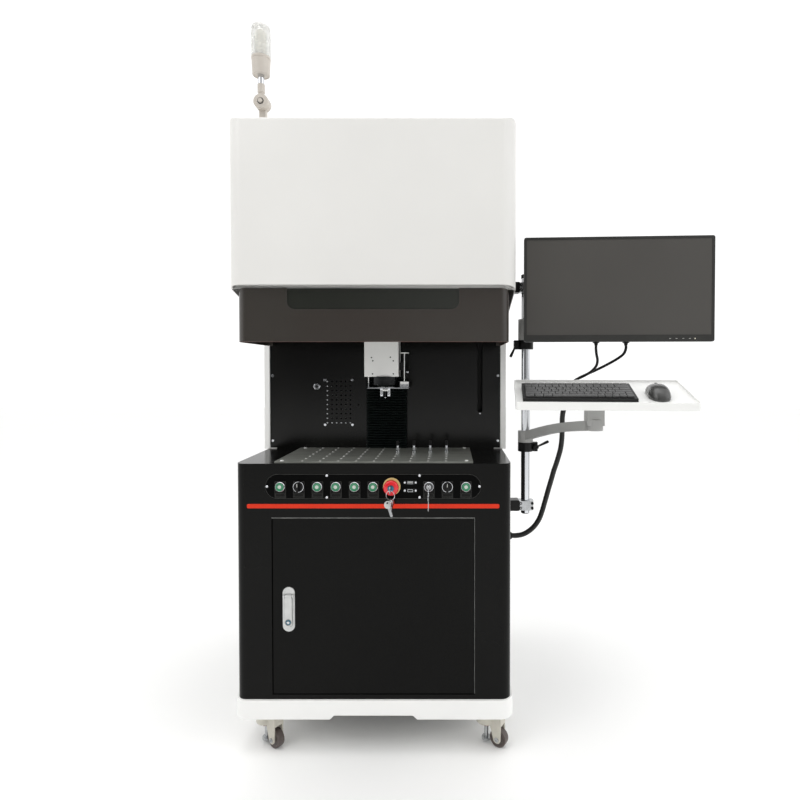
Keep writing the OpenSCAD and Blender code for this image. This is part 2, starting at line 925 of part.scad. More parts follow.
// Screwed rear cover with ventilation slots
module rear_panel() {
    w = rear_open_w + 30;
    z0 = rear_open_z0 - 15;
    z1 = rear_open_z1 + 15;
    color(white_paint)
        difference() {
            across(base_d, base_d + 2)
                translate([0, (z0 + z1) / 2])
                    round_rect(w, z1 - z0, 8);
            for (i = [0:11])
                box_from([-150, base_d - cut, z1 - 90 - i * 16], [150, base_d + 2 + cut, z1 - 84 - i * 16]);
        }
    color(chrome_tone)
        for (x = [-1, 1], z = [z0 + 7, (z0 + z1) / 2, z1 - 7])
            rod_y(x * (w / 2 - 7), z, base_d + 2, base_d + 4, 4);
}

// ---------- marking head ----------

head_down = 100;
head_up = 200;
head_z0 = table_z + head_clear;
head_y1 = wall_y - 28;
head_y0 = head_y1 - head_d;
carriage_arm_z0 = head_z0 + 27;
carriage_arm_z1 = carriage_arm_z0 + 80;
arm_half = 30;
rail_x = 45;
rail_w = 12;
column_y = wall_y + 56;
rail_y = column_y - 12;
screw_y = column_y - 12;
column_w = 120;
column_d = 80;
foot_w = 180;
screw_z0 = top_z + 40;
screw_z1 = carriage_arm_z1 + head_up + 80;
screw_r = screw_d / 2;
carriage_z0 = carriage_arm_z0 - 25;
carriage_z1 = carriage_arm_z1 + 25;

// Column with the head's rails, screw bearings and motor, and the shield's rail on its own post
module axis_frames() {
    color(light_grey)
        difference() {
            union() {
                box_from([-foot_w / 2, column_y - 20, top_z], [foot_w / 2, column_y + column_d + 40, top_z + 12]);
                box_from([-column_w / 2, column_y, top_z + cut], [column_w / 2, column_y + column_d, screw_z1 + 40]);
                for (z = [screw_z0 - 10, screw_z1 - 4])
                    box_from([-20, screw_y - 20, z], [20, column_y + cut, z + 24]);
            }
            rod_z(0, screw_y, screw_z0, screw_z1 + 30, screw_r + fit);
            for (s = [-1, 1])
                box_from([s * 30 - 22, column_y + 14, top_z + 16],
                    [s * 30 + 22, column_y + column_d - 14, screw_z1 + 40 + cut]);
        }
    color(chrome_tone)
        for (s = [-1, 1])
            box_from([s * rail_x - rail_w / 2, rail_y, top_z + 60],
                [s * rail_x + rail_w / 2, column_y, screw_z1 - 20]);
    // motor on the upper bearing
    color(dark_plastic)
        box_from([-28, screw_y - 18, screw_z1 + 20], [28, column_y, screw_z1 + 96]);
    color(light_grey)
        union() {
            box_from([slot_x - 24, shield_rail_y, top_z], [slot_x + 24, shield_rail_y + 8, slot_z1 + 60]);
            box_from([slot_x - 38, shield_rail_y, top_z], [slot_x + 38, shield_rail_y + 70, top_z + 6]);
        }
    color(chrome_tone)
        box_from([slot_x - rail_w / 2, shield_rail_y - 12, top_z + 40],
            [slot_x + rail_w / 2, shield_rail_y, slot_z1 + 50]);
}

// Lifting screw; its fine thread is left plain
module z_screw() {
    color(chrome_tone)
        rod_z(0, screw_y, screw_z0 + slip, screw_z1 + 19.5, screw_r);
}

// Carriage behind the wall, the arm through the slot, the front bracket and the pointer bracket
module head_carriage() {
    back_y0 = wall_y + sheet_t + 10;
    back_y1 = rail_y - 6;
    color(dark_plastic)
        difference() {
            union() {
                box_from([-62, back_y0, carriage_z0], [62, back_y1, carriage_z1]);
                for (s = [-1, 1])
                    box_from([s * rail_x - 15, back_y1 - cut, carriage_z0 + 10],
                        [s * rail_x + 15, column_y - 2, carriage_z1 - 10]);
                box_from([-18, back_y1 - cut, carriage_z0 + 30], [18, column_y - 1, carriage_z0 + 70]);
                box_from([-arm_half, head_y1 + 11, carriage_arm_z0], [arm_half, back_y0 + cut, carriage_arm_z1]);
                box_from([-head_w / 2, head_y1, head_z0 - 3], [head_w / 2, head_y1 + 12, head_z0 + head_h]);
            }
            rod_z(0, screw_y, carriage_z0, carriage_z1, screw_r + fit);
            for (s = [-1, 1])
                box_from([s * rail_x - rail_w / 2 - slip, rail_y - slip, carriage_z0],
                    [s * rail_x + rail_w / 2 + slip, column_y + cut, carriage_z1]);
        }
    pointer_bracket();
}

pointer_z = head_z0 - 36;
lens_x = 8;
lens_y = head_y0 + head_d / 2 - 5;
pointer_x = 12;
pointer_gap = 22;

// Upright plate beside the head, the plate under the lens and two pointer diodes
module pointer_bracket() {
    side = head_w / 2;
    color(chrome_tone)
        difference() {
            union() {
                box_from([side, head_y0 + 20, head_z0 + 20], [side + 17, head_y0 + 44, head_z0 + 44]);
                box_from([side + 16, head_y0 + 12, pointer_z], [side + 19, head_y0 + 52, head_z0 + 74]);
                box_from([side + 5, head_y0 + 12, head_z0 + 72], [side + 31, head_y0 + 52, head_z0 + 75]);
                box_from([side + 4, head_y0 + 10, pointer_z], [side + 31, head_y0 + 30, pointer_z + 21]);
                box_from([-42, head_y0 + 12, pointer_z], [-40, head_y0 + 52, head_z0]);
                box_from([-42, head_y0 - 4, pointer_z], [side + 31, head_y0 + 72, pointer_z + 2.5]);
            }
            rod_z(lens_x, lens_y, pointer_z - cut, pointer_z + 3, lens_d / 2 - 10);
        }
    color(chrome_tone)
        for (s = [-1, 1])
            rod_z(pointer_x + s * pointer_gap / 2, head_y0 + 2, pointer_z - 24, pointer_z, 4.8);
    color(dark_plastic)
        rod_z(pointer_x, head_y0 + 2, pointer_z - 14, pointer_z, 3);
}

module scan_head() {
    color([0.82, 0.83, 0.84])
        difference() {
            translate([0, (head_y0 + head_y1) / 2, head_z0])
                linear_extrude(head_h)
                    round_rect(head_w, head_d, 3);
            rod_z(lens_x, lens_y, head_z0 - cut, head_z0 + 14, lens_d / 2 - 12);
        }
}

// Lens barrel: a mounting spigot inside the head, a knurled ring and the front cell
module scan_lens() {
    r = lens_d / 2;
    color(glossy_black)
        translate([lens_x, lens_y, head_z0])
            rotate_extrude()
                polygon([
                    [0, -22], [r - 14, -22], [r - 12, -29], [r - 3, -29], [r - 1, -26], [r - 1, -14],
                    [r, -13], [r, 0], [r - 12 - fit, 0], [r - 12 - fit, 12], [0, 12]
                ]);
}

bellows_x = 6;
pleat_count = 28;
bellows_z0 = table_z + slip;
bellows_z1 = head_z0 - 3 - slip;
pleat_pitch = (bellows_z1 - bellows_z0) / pleat_count;
bellows_y0 = head_y1;
bellows_y1 = wall_y - 2;
pleat_wall = 1.6;

// Pleated slot cover between the table and the head's bracket
module bellows() {
    color(glossy_black)
        along_side(bellows_x - bellows_w / 2, bellows_x + bellows_w / 2)
            polygon(concat(
                [for (i = [0:2 * pleat_count])
                    [i % 2 == 0 ? bellows_y1 - 6 : bellows_y0, bellows_z0 + i * pleat_pitch / 2]],
                [for (i = [2 * pleat_count:-1:0])
                    [i % 2 == 0 ? bellows_y1 : bellows_y0 + 4, bellows_z0 + i * pleat_pitch / 2]]
            ));
}

// ---------- lift shield ----------

shield_y0 = 5;
shield_y1 = wall_y - 18;
shield_z0 = top_z + shield_travel + 1;
shield_z1 = shield_z0 + shield_h;
window_z0 = shield_z0 + 89;
shield_rail_y = wall_y + 47;
bracket_z0 = slot_z1 - 22;
bracket_z1 = slot_z1 - 6;

module shield_plan(g) {
    x = shield_w / 2 - g;
    square_from(-x, shield_y0 + corner_r, x, shield_y1 + (g > 0 ? cut : 0));
    square_from(-x + corner_r - g, shield_y0 + g, x - corner_r + g, shield_y0 + corner_r + cut);
    for (s = [-1, 1])
        translate([s * (shield_w / 2 - corner_r), shield_y0 + corner_r])
            circle(corner_r - g);
}

// Folded cover: a front with the window opening and two sides with rear flanges
module shield_cover() {
    color([0.17, 0.17, 0.18])
        difference() {
            union() {
                translate([0, 0, shield_z0])
                    linear_extrude(shield_h)
                        difference() {
                            shield_plan(0);
                            shield_plan(sheet_t);
                        }
                for (s = [-1, 1])
                    rear_flange(s);
            }
            across(shield_y0 - cut, shield_y0 + sheet_t + cut)
                window_outline(0);
        }
}

module rear_flange(s) {
    x_out = s * (shield_w / 2 - sheet_t / 2);
    x_in = s * (shield_w / 2 - 16);
    box_from([min(x_out, x_in), shield_y1 - sheet_t, shield_z0], [max(x_out, x_in), shield_y1, shield_z1]);
}

module window_outline(g) {
    translate([0, window_z0 + window_h / 2])
        round_rect(window_w + 2 * g, window_h + 2 * g, 22 + g);
}

module shield_window() {
    color([0.20, 0.22, 0.20, 0.6])
        across(shield_y0 + sheet_t, shield_y0 + sheet_t + 4)
            window_outline(10);
}

// Lower edge strip, and the bracket that reaches through the slot to the shield's rail
module shield_fittings() {
    block_y0 = wall_y + sheet_t + 6;
    color([0.42, 0.16, 0.14])
        translate([0, 0, shield_z0 - 0.8])
            linear_extrude(0.8)
                difference() {
                    shield_plan(0);
                    shield_plan(sheet_t);
                }
    color(chrome_tone)
        difference() {
            union() {
                box_from([slot_x - 6.5, shield_y1 - sheet_t - 8, bracket_z0],
                    [shield_w / 2 - sheet_t, shield_y1 - sheet_t, bracket_z1]);
                box_from([slot_x - 6.5, shield_y1 - sheet_t - 8, bracket_z0],
                    [slot_x + 6.5, block_y0 + cut, bracket_z1]);
                box_from([slot_x - 18, block_y0, bracket_z0 - 20],
                    [slot_x + 18, shield_rail_y - 2, bracket_z1 + 20]);
            }
            box_from([slot_x - rail_w / 2 - slip, shield_rail_y - 12 - slip, bracket_z0 - 20 - cut],
                [slot_x + rail_w / 2 + slip, shield_rail_y, bracket_z1 + 20 + cut]);
        }
}

// ---------- inside the cabinet ----------

module laser_source() {
    x0 = 40;
    y0 = 210;
    z0 = base_z + sheet_t;
    color(light_grey)
        difference() {
            union() {
                box_from([x0, y0, z0], [x0 + 270, y0 + 400, z0 + 130]);
                box_from([x0 - 8, y0 - 4, z0], [x0 + 278, y0, z0 + 130]);
                for (s = [22, 248])
                    rod_z(x0 + s, y0 - 22, z0 + 26, z0 + 104, 5);
                for (s = [22, 248], z = [26, 98])
                    rod_y(x0 + s, z0 + z + 3, y0 - 22, y0, 5);
            }
            for (i = [0:6])
                box_from([x0 + 70 + i * 20, y0 - 4 - cut, z0 + 40], [x0 + 80 + i * 20, y0 + 2, z0 + 92]);
        }
}

module computer() {
    x0 = -300;
    y0 = 210;
    z0 = base_z + sheet_t;
    color(dark_plastic)
        difference() {
            union() {
                box_from([x0, y0, z0 + 12], [x0 + 180, y0 + 400, z0 + 402]);
                for (dx = [24, 156], dy = [40, 360])
                    rod_z(x0 + dx, y0 + dy, z0, z0 + 13, 14);
            }
            box_from([x0 + 15, y0 - cut, z0 + 330], [x0 + 165, y0 + 3, z0 + 374]);
            for (i = [0:9])
                box_from([x0 + 30, y0 - cut, z0 + 50 + i * 16], [x0 + 150, y0 + 3, z0 + 57 + i * 16]);
        }
}

// ---------- signal lamp ----------

lamp_x = -314;
lamp_y = 40;
lamp_pivot_z = roof_z + 65;
fold_r = 20.5;

// Foot bolted to the roof, with the rear half of the fold joint
module lamp_foot() {
    color(lamp_beige)
        union() {
            translate([lamp_x, lamp_y + 16, roof_z])
                linear_extrude(6)
                    round_rect(60, 52, 8);
            box_from([lamp_x - 9, lamp_y + 8, roof_z + 5], [lamp_x + 9, lamp_y + 24, lamp_pivot_z]);
            rod_y(lamp_x, lamp_pivot_z, lamp_y + 8, lamp_y + 24, fold_r);
            rod_y(lamp_x, lamp_pivot_z, lamp_y - 12, lamp_y + 10, 6);
        }
}

lamp_collar_z = lamp_pivot_z + fold_r + 27.5;
lamp_pole_top = lamp_collar_z + lamp_pole_h;
lamp_body_top = lamp_pole_top + lamp_body_h;

// Front half of the fold joint, pole, tapered body and lens
module signal_lamp() {
    lr = lamp_d / 2;
    color(lamp_beige)
        difference() {
            union() {
                rod_y(lamp_x, lamp_pivot_z, lamp_y - 8, lamp_y + 8 - slip, fold_r);
                box_from([lamp_x - 7, lamp_y - 7, lamp_pivot_z], [lamp_x + 7, lamp_y + 7, lamp_collar_z - 20]);
                rod_z(lamp_x, lamp_y, lamp_collar_z - 24, lamp_collar_z, 10);
            }
            rod_y(lamp_x, lamp_pivot_z, lamp_y - 20, lamp_y + 20, 6 + fit);
        }
    color(chrome_tone)
        rod_z(lamp_x, lamp_y, lamp_collar_z, lamp_pole_top, 8.4);
    color(lamp_beige)
        translate([lamp_x, lamp_y, lamp_pole_top])
            rotate_extrude()
                polygon([
                    [0, 0], [lr - 4, 0], [lr - 2.6, 1.5], [lr, lamp_body_h - 6], [lr, lamp_body_h], [0, lamp_body_h]
                ]);
    color([0.93, 0.94, 0.95, 0.7])
        translate([lamp_x, lamp_y, lamp_body_top])
            rotate_extrude()
                polygon([
                    [0, 0], [lr, 0], [lr, lamp_lens_h - 8], [lr - 3, lamp_lens_h - 2],
                    [lr - 8, lamp_lens_h], [0, lamp_lens_h]
                ]);
}

// ---------- mast ----------

mast_x = base_w / 2 + mast_off;
mast_r = mast_d / 2;
mast_z0 = base_z + 455;
mast_z1 = hood_z + 65;
lower_clamp_z = mast_z0 + 26;
upper_clamp_z = mast_z1 - 36;
monitor_collar_z = top_z + 322;
tray_collar_z = top_z - 2;
collar_h = 29;
collar_r = mast_r + 10;

module mast() {
    color(chrome_tone)
        difference() {
            rod_z(mast_x, mast_y, mast_z0, mast_z1, mast_r);
            rod_z(mast_x, mast_y, mast_z0 + 12, mast_z1 - 12, mast_r - 2);
        }
}

// One bracket: flange on the machine's side, arm and split ring around the mast
module mast_bracket(side_x, z) {
    color(dark_plastic)
        box_from([side_x, mast_y - 26, z - 24], [side_x + 6, mast_y + 26, z + 24]);
    color(dark_plastic)
        box_from([side_x + 6, mast_y - 20, z - 17], [mast_x - mast_r - 8, mast_y + 20, z + 17]);
    color(chrome_tone)
        difference() {
            union() {
                rod_z(mast_x, mast_y, z - 15, z + 15, collar_r + 2);
                box_from([mast_x - mast_r - 8, mast_y - 18, z - 15], [mast_x, mast_y + 18, z + 15]);
            }
            rod_z(mast_x, mast_y, z - 16, z + 16, mast_r + fit);
            box_from([mast_x + mast_r - 4, mast_y - 1.5, z - 16], [mast_x + collar_r + 3, mast_y + 1.5, z + 16]);
        }
}

// Clamping collar under an arm, with two ears towards the given side
module clamp_collar(z, side) {
    ear_x = mast_x + side * (collar_r + 8);
    color(dark_plastic)
        difference() {
            union() {
                rod_z(mast_x, mast_y, z, z + collar_h, collar_r);
                box_from([min(mast_x, ear_x + side * 6), mast_y - 9, z],
                    [max(mast_x, ear_x + side * 6), mast_y + 9, z + collar_h]);
            }
            rod_z(mast_x, mast_y, z - cut, z + collar_h + cut, mast_r + fit);
            box_from([min(mast_x + side * (mast_r - 4), ear_x + side * 8), mast_y - 1.5, z - cut],
                [max(mast_x + side * (mast_r - 4), ear_x + side * 8), mast_y + 1.5, z + collar_h + cut]);
            rod_y(ear_x, z + collar_h / 2, mast_y - 20, mast_y + 20, 3 + fit);
        }
}

module mast_clamps() {
    mast_bracket(base_w / 2, lower_clamp_z);
    mast_bracket(hood_w / 2, upper_clamp_z);
    clamp_collar(monitor_collar_z, -1);
    clamp_collar(tray_collar_z, 1);
    color(dark_plastic)
        rod_z(mast_x, mast_y, mast_z1, mast_z1 + 6, mast_r + 1);
}

// Lever with its screw through a collar's ears; angle is measured from +X in the front view
module clamp_lever(z, side, angle) {
    ear_x = mast_x + side * (collar_r + 8);
    pivot_z = z + collar_h / 2;
    color(dark_plastic)
        union() {
            rod_y(ear_x, pivot_z, mast_y - 18, mast_y - 9 - slip, 8);
            rod_y(ear_x, pivot_z, mast_y - 10, mast_y + 9 + slip, 3);
            rod_y(ear_x, pivot_z, mast_y + 9 + slip, mast_y + 14, 5.5);
            translate([ear_x, mast_y - 18, pivot_z])
                rotate([0, -angle, 0])
                    translate([0, 0, -4.5])
                        cube([44, 7, 9]);
        }
}

module arm_lever() {
    clamp_lever(monitor_collar_z, -1, 245);
}

module tray_lever() {
    clamp_lever(tray_collar_z, 1, 25);
}

// ---------- monitor ----------

arm_z0 = monitor_collar_z + collar_h + slip;
arm_hub_h = 66;
arm_bar_z0 = arm_z0 + 26;
arm_bar_h = 38;
head_x = mast_x + 250;
head_yy = mast_y - 60;
monitor_yaw = -3.4;
tilt_z = arm_bar_z0 + 18;
tilt_dy = -40;
monitor_front = -110;
monitor_t = 40;
monitor_z0 = tilt_z - 57;
swivel_pin_r = 7;
head_top_z = arm_bar_z0 + arm_bar_h;

// Bar between two upright axes, as a plan shape
module bar_plan(x0, y0, x1, y1, w) {
    len = norm([x1 - x0, y1 - y0]);
    translate([x0, y0])
        rotate(atan2(y1 - y0, x1 - x0))
            translate([0, -w / 2])
                square([len, w]);
}

module monitor_arm() {
    color(light_grey)
        difference() {
            union() {
                rod_z(mast_x, mast_y, arm_z0, arm_z0 + arm_hub_h, collar_r);
                translate([0, 0, arm_bar_z0])
                    linear_extrude(arm_bar_h)
                        bar_plan(mast_x, mast_y, head_x, head_yy, 30);
                rod_z(head_x, head_yy, arm_bar_z0, head_top_z, 20);
                rod_z(head_x, head_yy, head_top_z - cut, head_top_z + 16, swivel_pin_r);
            }
            rod_z(mast_x, mast_y, arm_z0 - cut, arm_z0 + arm_hub_h + cut, mast_r + fit);
        }
}

// Local frame of the monitor: origin on the swivel axis, -Y towards the viewer
module monitor_frame() {
    translate([head_x, head_yy, 0])
        rotate([0, 0, monitor_yaw])
            children();
}

// Swivel head: lug on the arm's pin, and a barrel for the tilt pin
module monitor_head() {
    color(dark_plastic)
        monitor_frame()
            difference() {
                union() {
                    rod_z(0, 0, head_top_z + slip, head_top_z + 16, 18);
                    box_from([-16, tilt_dy - 10, head_top_z + slip], [16, 0, head_top_z + 14]);
                    box_from([-16, tilt_dy - 10, tilt_z], [16, tilt_dy + 10, head_top_z + 14]);
                    rod_x(tilt_dy, tilt_z, -18, 18, 12);
                }
                rod_z(0, 0, head_top_z - cut, head_top_z + 20, swivel_pin_r + fit);
                rod_x(tilt_dy, tilt_z, -20, 20, 5 + fit);
            }
}

// Monitor housing, its rear plate with the tilt ears and pin, and two cable plugs
module monitor() {
    back = monitor_front + monitor_t;
    mid_z = monitor_z0 + monitor_h / 2;
    monitor_frame() {
        color(dark_plastic)
            difference() {
                union() {
                    across(monitor_front, monitor_front + 14)
                        translate([0, mid_z])
                            round_rect(monitor_w, monitor_h, 6);
                    across(monitor_front + 13, back)
                        translate([0, mid_z])
                            round_rect(monitor_w - 90, monitor_h - 40, 12);
                }
                across(monitor_front - cut, monitor_front + 1.2)
                    translate([0, mid_z + 6])
                        square([monitor_w - 16, monitor_h - 28], center = true);
            }
        color(light_grey)
            difference() {
                union() {
                    box_from([-60, back, tilt_z - 20], [60, back + 4, tilt_z + 130]);
                    for (s = [-1, 1])
                        box_from([s * 23 - 4, back, tilt_z - 12], [s * 23 + 4, tilt_dy, tilt_z + 12]);
                    for (s = [-1, 1])
                        rod_x(tilt_dy, tilt_z, s * 23 - 4, s * 23 + 4, 12);
                    rod_x(tilt_dy, tilt_z, -26, 26, 5);
                }
                for (s = [-1, 1], z = [20, 120])
                    rod_y(s * 50, tilt_z + z, back - cut, back + 4 + cut, 2.2);
            }
        color(dark_plastic)
            for (x = plug_places)
                box_from([x - 9, plug_y - 7, monitor_z0 - 8], [x + 9, plug_y + 7, monitor_z0 + 20]);
    }
}

plug_places = [-58, 28];
plug_y = monitor_front + 26;

// ---------- cables ----------

cord_r = 4;
bundle_r = 8;

function unit(v) = v / norm(v);
function cross_y(t) = unit(cross(t, [0.2, 1, 0.1]));
function tangent(p, i) =
    unit(p[min(i + 1, len(p) - 1)] - p[max(i - 1, 0)]);

// Tube of n sides swept along the points p
module cord_tube(p, r, n) {
    rings = [for (i = [0:len(p) - 1])
        let (t = tangent(p, i), u = cross_y(t), v = cross(t, u))
        [for (k = [0:n - 1]) p[i] + r * (cos(360 * k / n) * u + sin(360 * k / n) * v)]];
    m = len(p);
    polyhedron(
        points = [for (ring = rings) for (q = ring) q],
        faces = concat(
            [[for (k = [0:n - 1]) k]],
            [for (i = [0:m - 2]) for (k = [0:n - 1])
                [i * n + k, (i + 1) * n + k, (i + 1) * n + (k + 1) % n]],
            [for (i = [0:m - 2]) for (k = [0:n - 1])
                [i * n + k, (i + 1) * n + (k + 1) % n, i * n + (k + 1) % n]],
            [[for (k = [n - 1:-1:0]) (m - 1) * n + k]]
        )
    );
}

// Points between the route's own points, on a smooth curve through them
function smooth_at(p, i, f) =
    let (
        a = p[max(i - 1, 0)],
        b = p[i],
        c = p[min(i + 1, len(p) - 1)],
        d = p[min(i + 2, len(p) - 1)]
    )
    0.5 * ((2 * b) + (c - a) * f + (2 * a - 5 * b + 4 * c - d) * f * f + (3 * b - a - 3 * c + d) * f * f * f);
function smooth(p, n) = concat(
    [for (i = [0:len(p) - 2]) for (k = [0:n - 1]) smooth_at(p, i, k / n)],
    [p[len(p) - 1]]
);

// Routes in the machine's own frame, from the monitor down and from the cabinet up
cord_a_route = [
    [639.1, 109.6, 1141.6], [639.1, 109.6, 1130], [642, 114, 1114], [648, 126, 1098], [649, 144, 1081],
    [641, 164, 1066], [628, 182, 1054], [614, 198, 1045], [602, 211, 1038], [597, 218, 1030], [597, 218, 1020.4]
];
cord_b_route = [
    [725, 104.5, 1141.6], [725, 104.5, 1131], [720, 110, 1116], [706, 124, 1102], [687, 144, 1088],
    [665, 164, 1074], [645, 184, 1062], [627, 202, 1052], [613, 218, 1043], [608, 226, 1033], [608, 226, 1020.4]
];
bundle_route = [
    [602, 222, 1019.6], [602, 222, 1010], [598, 223, 997], [589, 226, 980], [577, 228, 962],
    [569, 230, 942], [566, 232, 920], [566, 234, 896], [566, 235, 872], [565, 236, 846], [562, 238, 820],
    [556, 239, 796], [549, 240, 772], [541, 241, 748], [534, 242, 722], [526, 243, 694],
    [519, 244, 668], [512, 245, 642], [505, 245, 618], [496, 245, 594], [482, 245, 572],
    [464, 245, 555], [444, 245, 544], [424, 245, 540], [408.3, 245, 540]
];

module monitor_cables() {
    color(glossy_black)
        cord_tube(smooth(cord_a_route, 2), cord_r, 8);
    color(glossy_black)
        cord_tube(smooth(cord_b_route, 2), cord_r, 8);
}

module cable_bundle() {
    color(glossy_black)
        cord_tube(smooth(bundle_route, 2), bundle_r, 10);
}

// Screwed cable glands: on the right-hand side and for the mains lead at the rear
module cable_gland() {
    side = base_w / 2;
    color(dark_plastic)
        difference() {
            union() {
                rod_x(gland_y, gland_z, side - sheet_t - 6, side + 18, gland_r);
                rod_x(gland_y, gland_z, side, side + 6, gland_r + 5);
                rod_x(gland_y, gland_z, side + 6, side + 28, gland_r + 1);
            }
            rod_x(gland_y, gland_z, side - 20, side + 24, 8.4);
        }
    color(dark_plastic)
        difference() {
            union() {
                rod_y(inlet_x, inlet_z, base_d - sheet_t - 6, base_d + 14, gland_r);
                rod_y(inlet_x, inlet_z, base_d, base_d + 6, gland_r + 5);
            }
            rod_y(inlet_x, inlet_z, base_d - 20, base_d + 15, 5);
        }
}

// ---------- keyboard tray ----------

tray_z0 = tray_collar_z + collar_h + slip;
tray_hub_h = 36;
tray_pivot_x = mast_x + 165;
tray_pivot_y = mast_y - 210;
tray_reach = norm([tray_pivot_x - mast_x, tray_pivot_y - mast_y]);
tray_heading = atan2(tray_pivot_y - mast_y, tray_pivot_x - mast_x);
tray_rise = 56;
tray_slope = 15;
tray_turn = 5.5;
tray_axis_z = tray_z0 + tray_rise + 76;
tray_sheet = 2.5;
tray_lip = 22;
tray_front = -99;
tray_under = 17;
tray_rim = 6;
tray_floor = tray_under + tray_lip - tray_rim;
tray_centre = 17;
set_back = 22;

// Height of the arched arm's centre line at a share f of its length
function arch_z(f) = tray_z0 + 18 + tray_rise * (f + 0.16 * sin(180 * f));

module tray_turned() {
    translate([tray_pivot_x, tray_pivot_y, tray_axis_z])
        rotate([0, 0, -tray_turn])
            children();
}

module tray_arm() {
    steps = 12;
    half = 14;
    boss_z1 = tray_axis_z - 12;
    color(light_grey)
        difference() {
            union() {
                rod_z(mast_x, mast_y, tray_z0, tray_z0 + tray_hub_h, collar_r);
                translate([mast_x, mast_y, 0])
                    rotate([0, 0, tray_heading])
                        translate([0, 18, 0])
                            rotate([90, 0, 0])
                                linear_extrude(36)
                                    polygon(concat(
                                        [for (i = [0:steps]) [tray_reach * i / steps, arch_z(i / steps) + half]],
                                        [for (i = [steps:-1:0]) [tray_reach * i / steps, arch_z(i / steps) - half]]
                                    ));
                rod_z(tray_pivot_x, tray_pivot_y, arch_z(1) - half, arch_z(1) + half + 3, 24);
                translate([tray_pivot_x, tray_pivot_y, arch_z(1)])
                    linear_extrude(boss_z1 - arch_z(1))
                        round_rect(50, 40, 4);
                tray_turned() {
                    box_from([-18, -9, -12 - cut], [18, 9, 0]);
                    rod_x(0, 0, -18, 18, 9);
                }
            }
            rod_z(mast_x, mast_y, tray_z0 - cut, tray_z0 + 90, mast_r + fit);
            tray_turned() rod_x(0, 0, -20, 20, 5 + fit);
        }
}

// Local frame of the tray: origin on the tilt axis, Y along the sloping floor
module tray_frame() {
    tray_turned()
        rotate([tray_slope, 0, 0])
            children();
}

module keyboard_tray() {
    mid_y = tray_front + tray_d / 2;
    tray_frame() {
        color(white_paint)
            difference() {
                translate([tray_centre, mid_y, tray_under])
                    linear_extrude(tray_lip)
                        round_rect(tray_w, tray_d, 8);
                for (z = [tray_floor, tray_floor - tray_sheet - tray_lip])
                    translate([tray_centre, mid_y, z])
                        linear_extrude(tray_lip)
                            round_rect(tray_w - 2 * tray_sheet, tray_d - 2 * tray_sheet, 8 - tray_sheet);
            }
        color(dark_plastic)
            difference() {
                union() {
                    box_from([-34, -30, tray_under - 4], [34, 40, tray_floor - tray_sheet]);
                    for (s = [-1, 1])
                        box_from([s * 22.5 - 4, -9, 0], [s * 22.5 + 4, 9, tray_under - 3]);
                    for (s = [-1, 1])
                        rod_x(0, 0, s * 22.5 - 4, s * 22.5 + 4, 9);
                    rod_x(0, 0, -26, 26, 5);
                }
                box_from([-100, -100, tray_floor - tray_sheet], [100, 100, tray_floor + 30]);
            }
    }
}

kb_w = 304;
kb_d = 126;

// Compact keyboard: wedge-shaped case with a raised key field
module keyboard() {
    x0 = tray_centre - tray_w / 2 + 20;
    y0 = tray_front + tray_sheet + set_back;
    color(dark_plastic)
        tray_frame()
            union() {
                along_side(x0, x0 + kb_w)
                    polygon([
                        [y0, tray_floor], [y0 + kb_d, tray_floor], [y0 + kb_d, tray_floor + 15], [y0, tray_floor + 9]
                    ]);
                along_side(x0 + 8, x0 + kb_w - 8)
                    polygon([
                        [y0 + 8, tray_floor + 5], [y0 + kb_d - 8, tray_floor + 5],
                        [y0 + kb_d - 8, tray_floor + 20], [y0 + 8, tray_floor + 14]
                    ]);
            }
}

module mouse() {
    x = tray_centre - tray_w / 2 + 20 + kb_w + 63;
    y = tray_front + tray_sheet + set_back + 55;
    color(dark_plastic)
        tray_frame()
            translate([x, y, tray_floor])
                intersection() {
                    hull() {
                        translate([0, 18, 0])
                            scale([1, 1.15, 1.1])
                                sphere(r = 30, $fn = 28);
                        translate([0, -26, 0])
                            scale([1, 1, 0.72])
                                sphere(r = 28, $fn = 28);
                    }
                    translate([0, 0, 20])
                        cube([80, 120, 40], center = true);
                }
}

// ---------- placement ----------

// The origin of the part is the centre of the fixture holes on the table's upper face
module placed() {
    translate([0, -grid_y, -table_z])
        children();
}

placed() plinth();
placed() cabinet_shell();
placed() work_table();
placed() locating_pins();
placed() trim_stripe();
placed() control_panel();
placed() control_fittings();
placed() chamber_wall();
placed() upper_housing();
placed() rear_panel();
placed() axis_frames();
placed() bellows();
placed() mast();
placed() mast_clamps();
placed() caster_plates();
placed() laser_source();
placed() computer();
placed() cable_gland();
placed() cable_bundle();
placed() lamp_foot();
placed() shield_cover();
placed() shield_window();
placed() shield_fittings();
placed() head_carriage();
placed() scan_head();
placed() scan_lens();
placed() z_screw();
placed() cabinet_door();
placed() lock_body();
placed() lock_lever();
placed() latch_cam();
for (i = [1:6])
    placed() push_button(i);
for (i = [1:2])
    placed() selector(i);
placed() key_switch();
placed() estop_button();
for (i = [1:4])
    placed() caster_fork(i - 1);
for (i = [1:4])
    placed() caster_wheel(i - 1);
placed() signal_lamp();
placed() monitor_arm();
placed() monitor_head();
placed() monitor();
placed() monitor_cables();
placed() tray_arm();
placed() keyboard_tray();
placed() keyboard();
placed() mouse();
placed() arm_lever();
placed() tray_lever();
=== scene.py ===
"""Looks for the laser marking machine. Lengths are millimetres in the machine's own
frame (x from the cabinet's middle, y back from its front, z up from the floor) until
place() turns them into the frame's metres."""
import math
from itertools import product

import bmesh
import bpy
from mathutils import Matrix, Vector


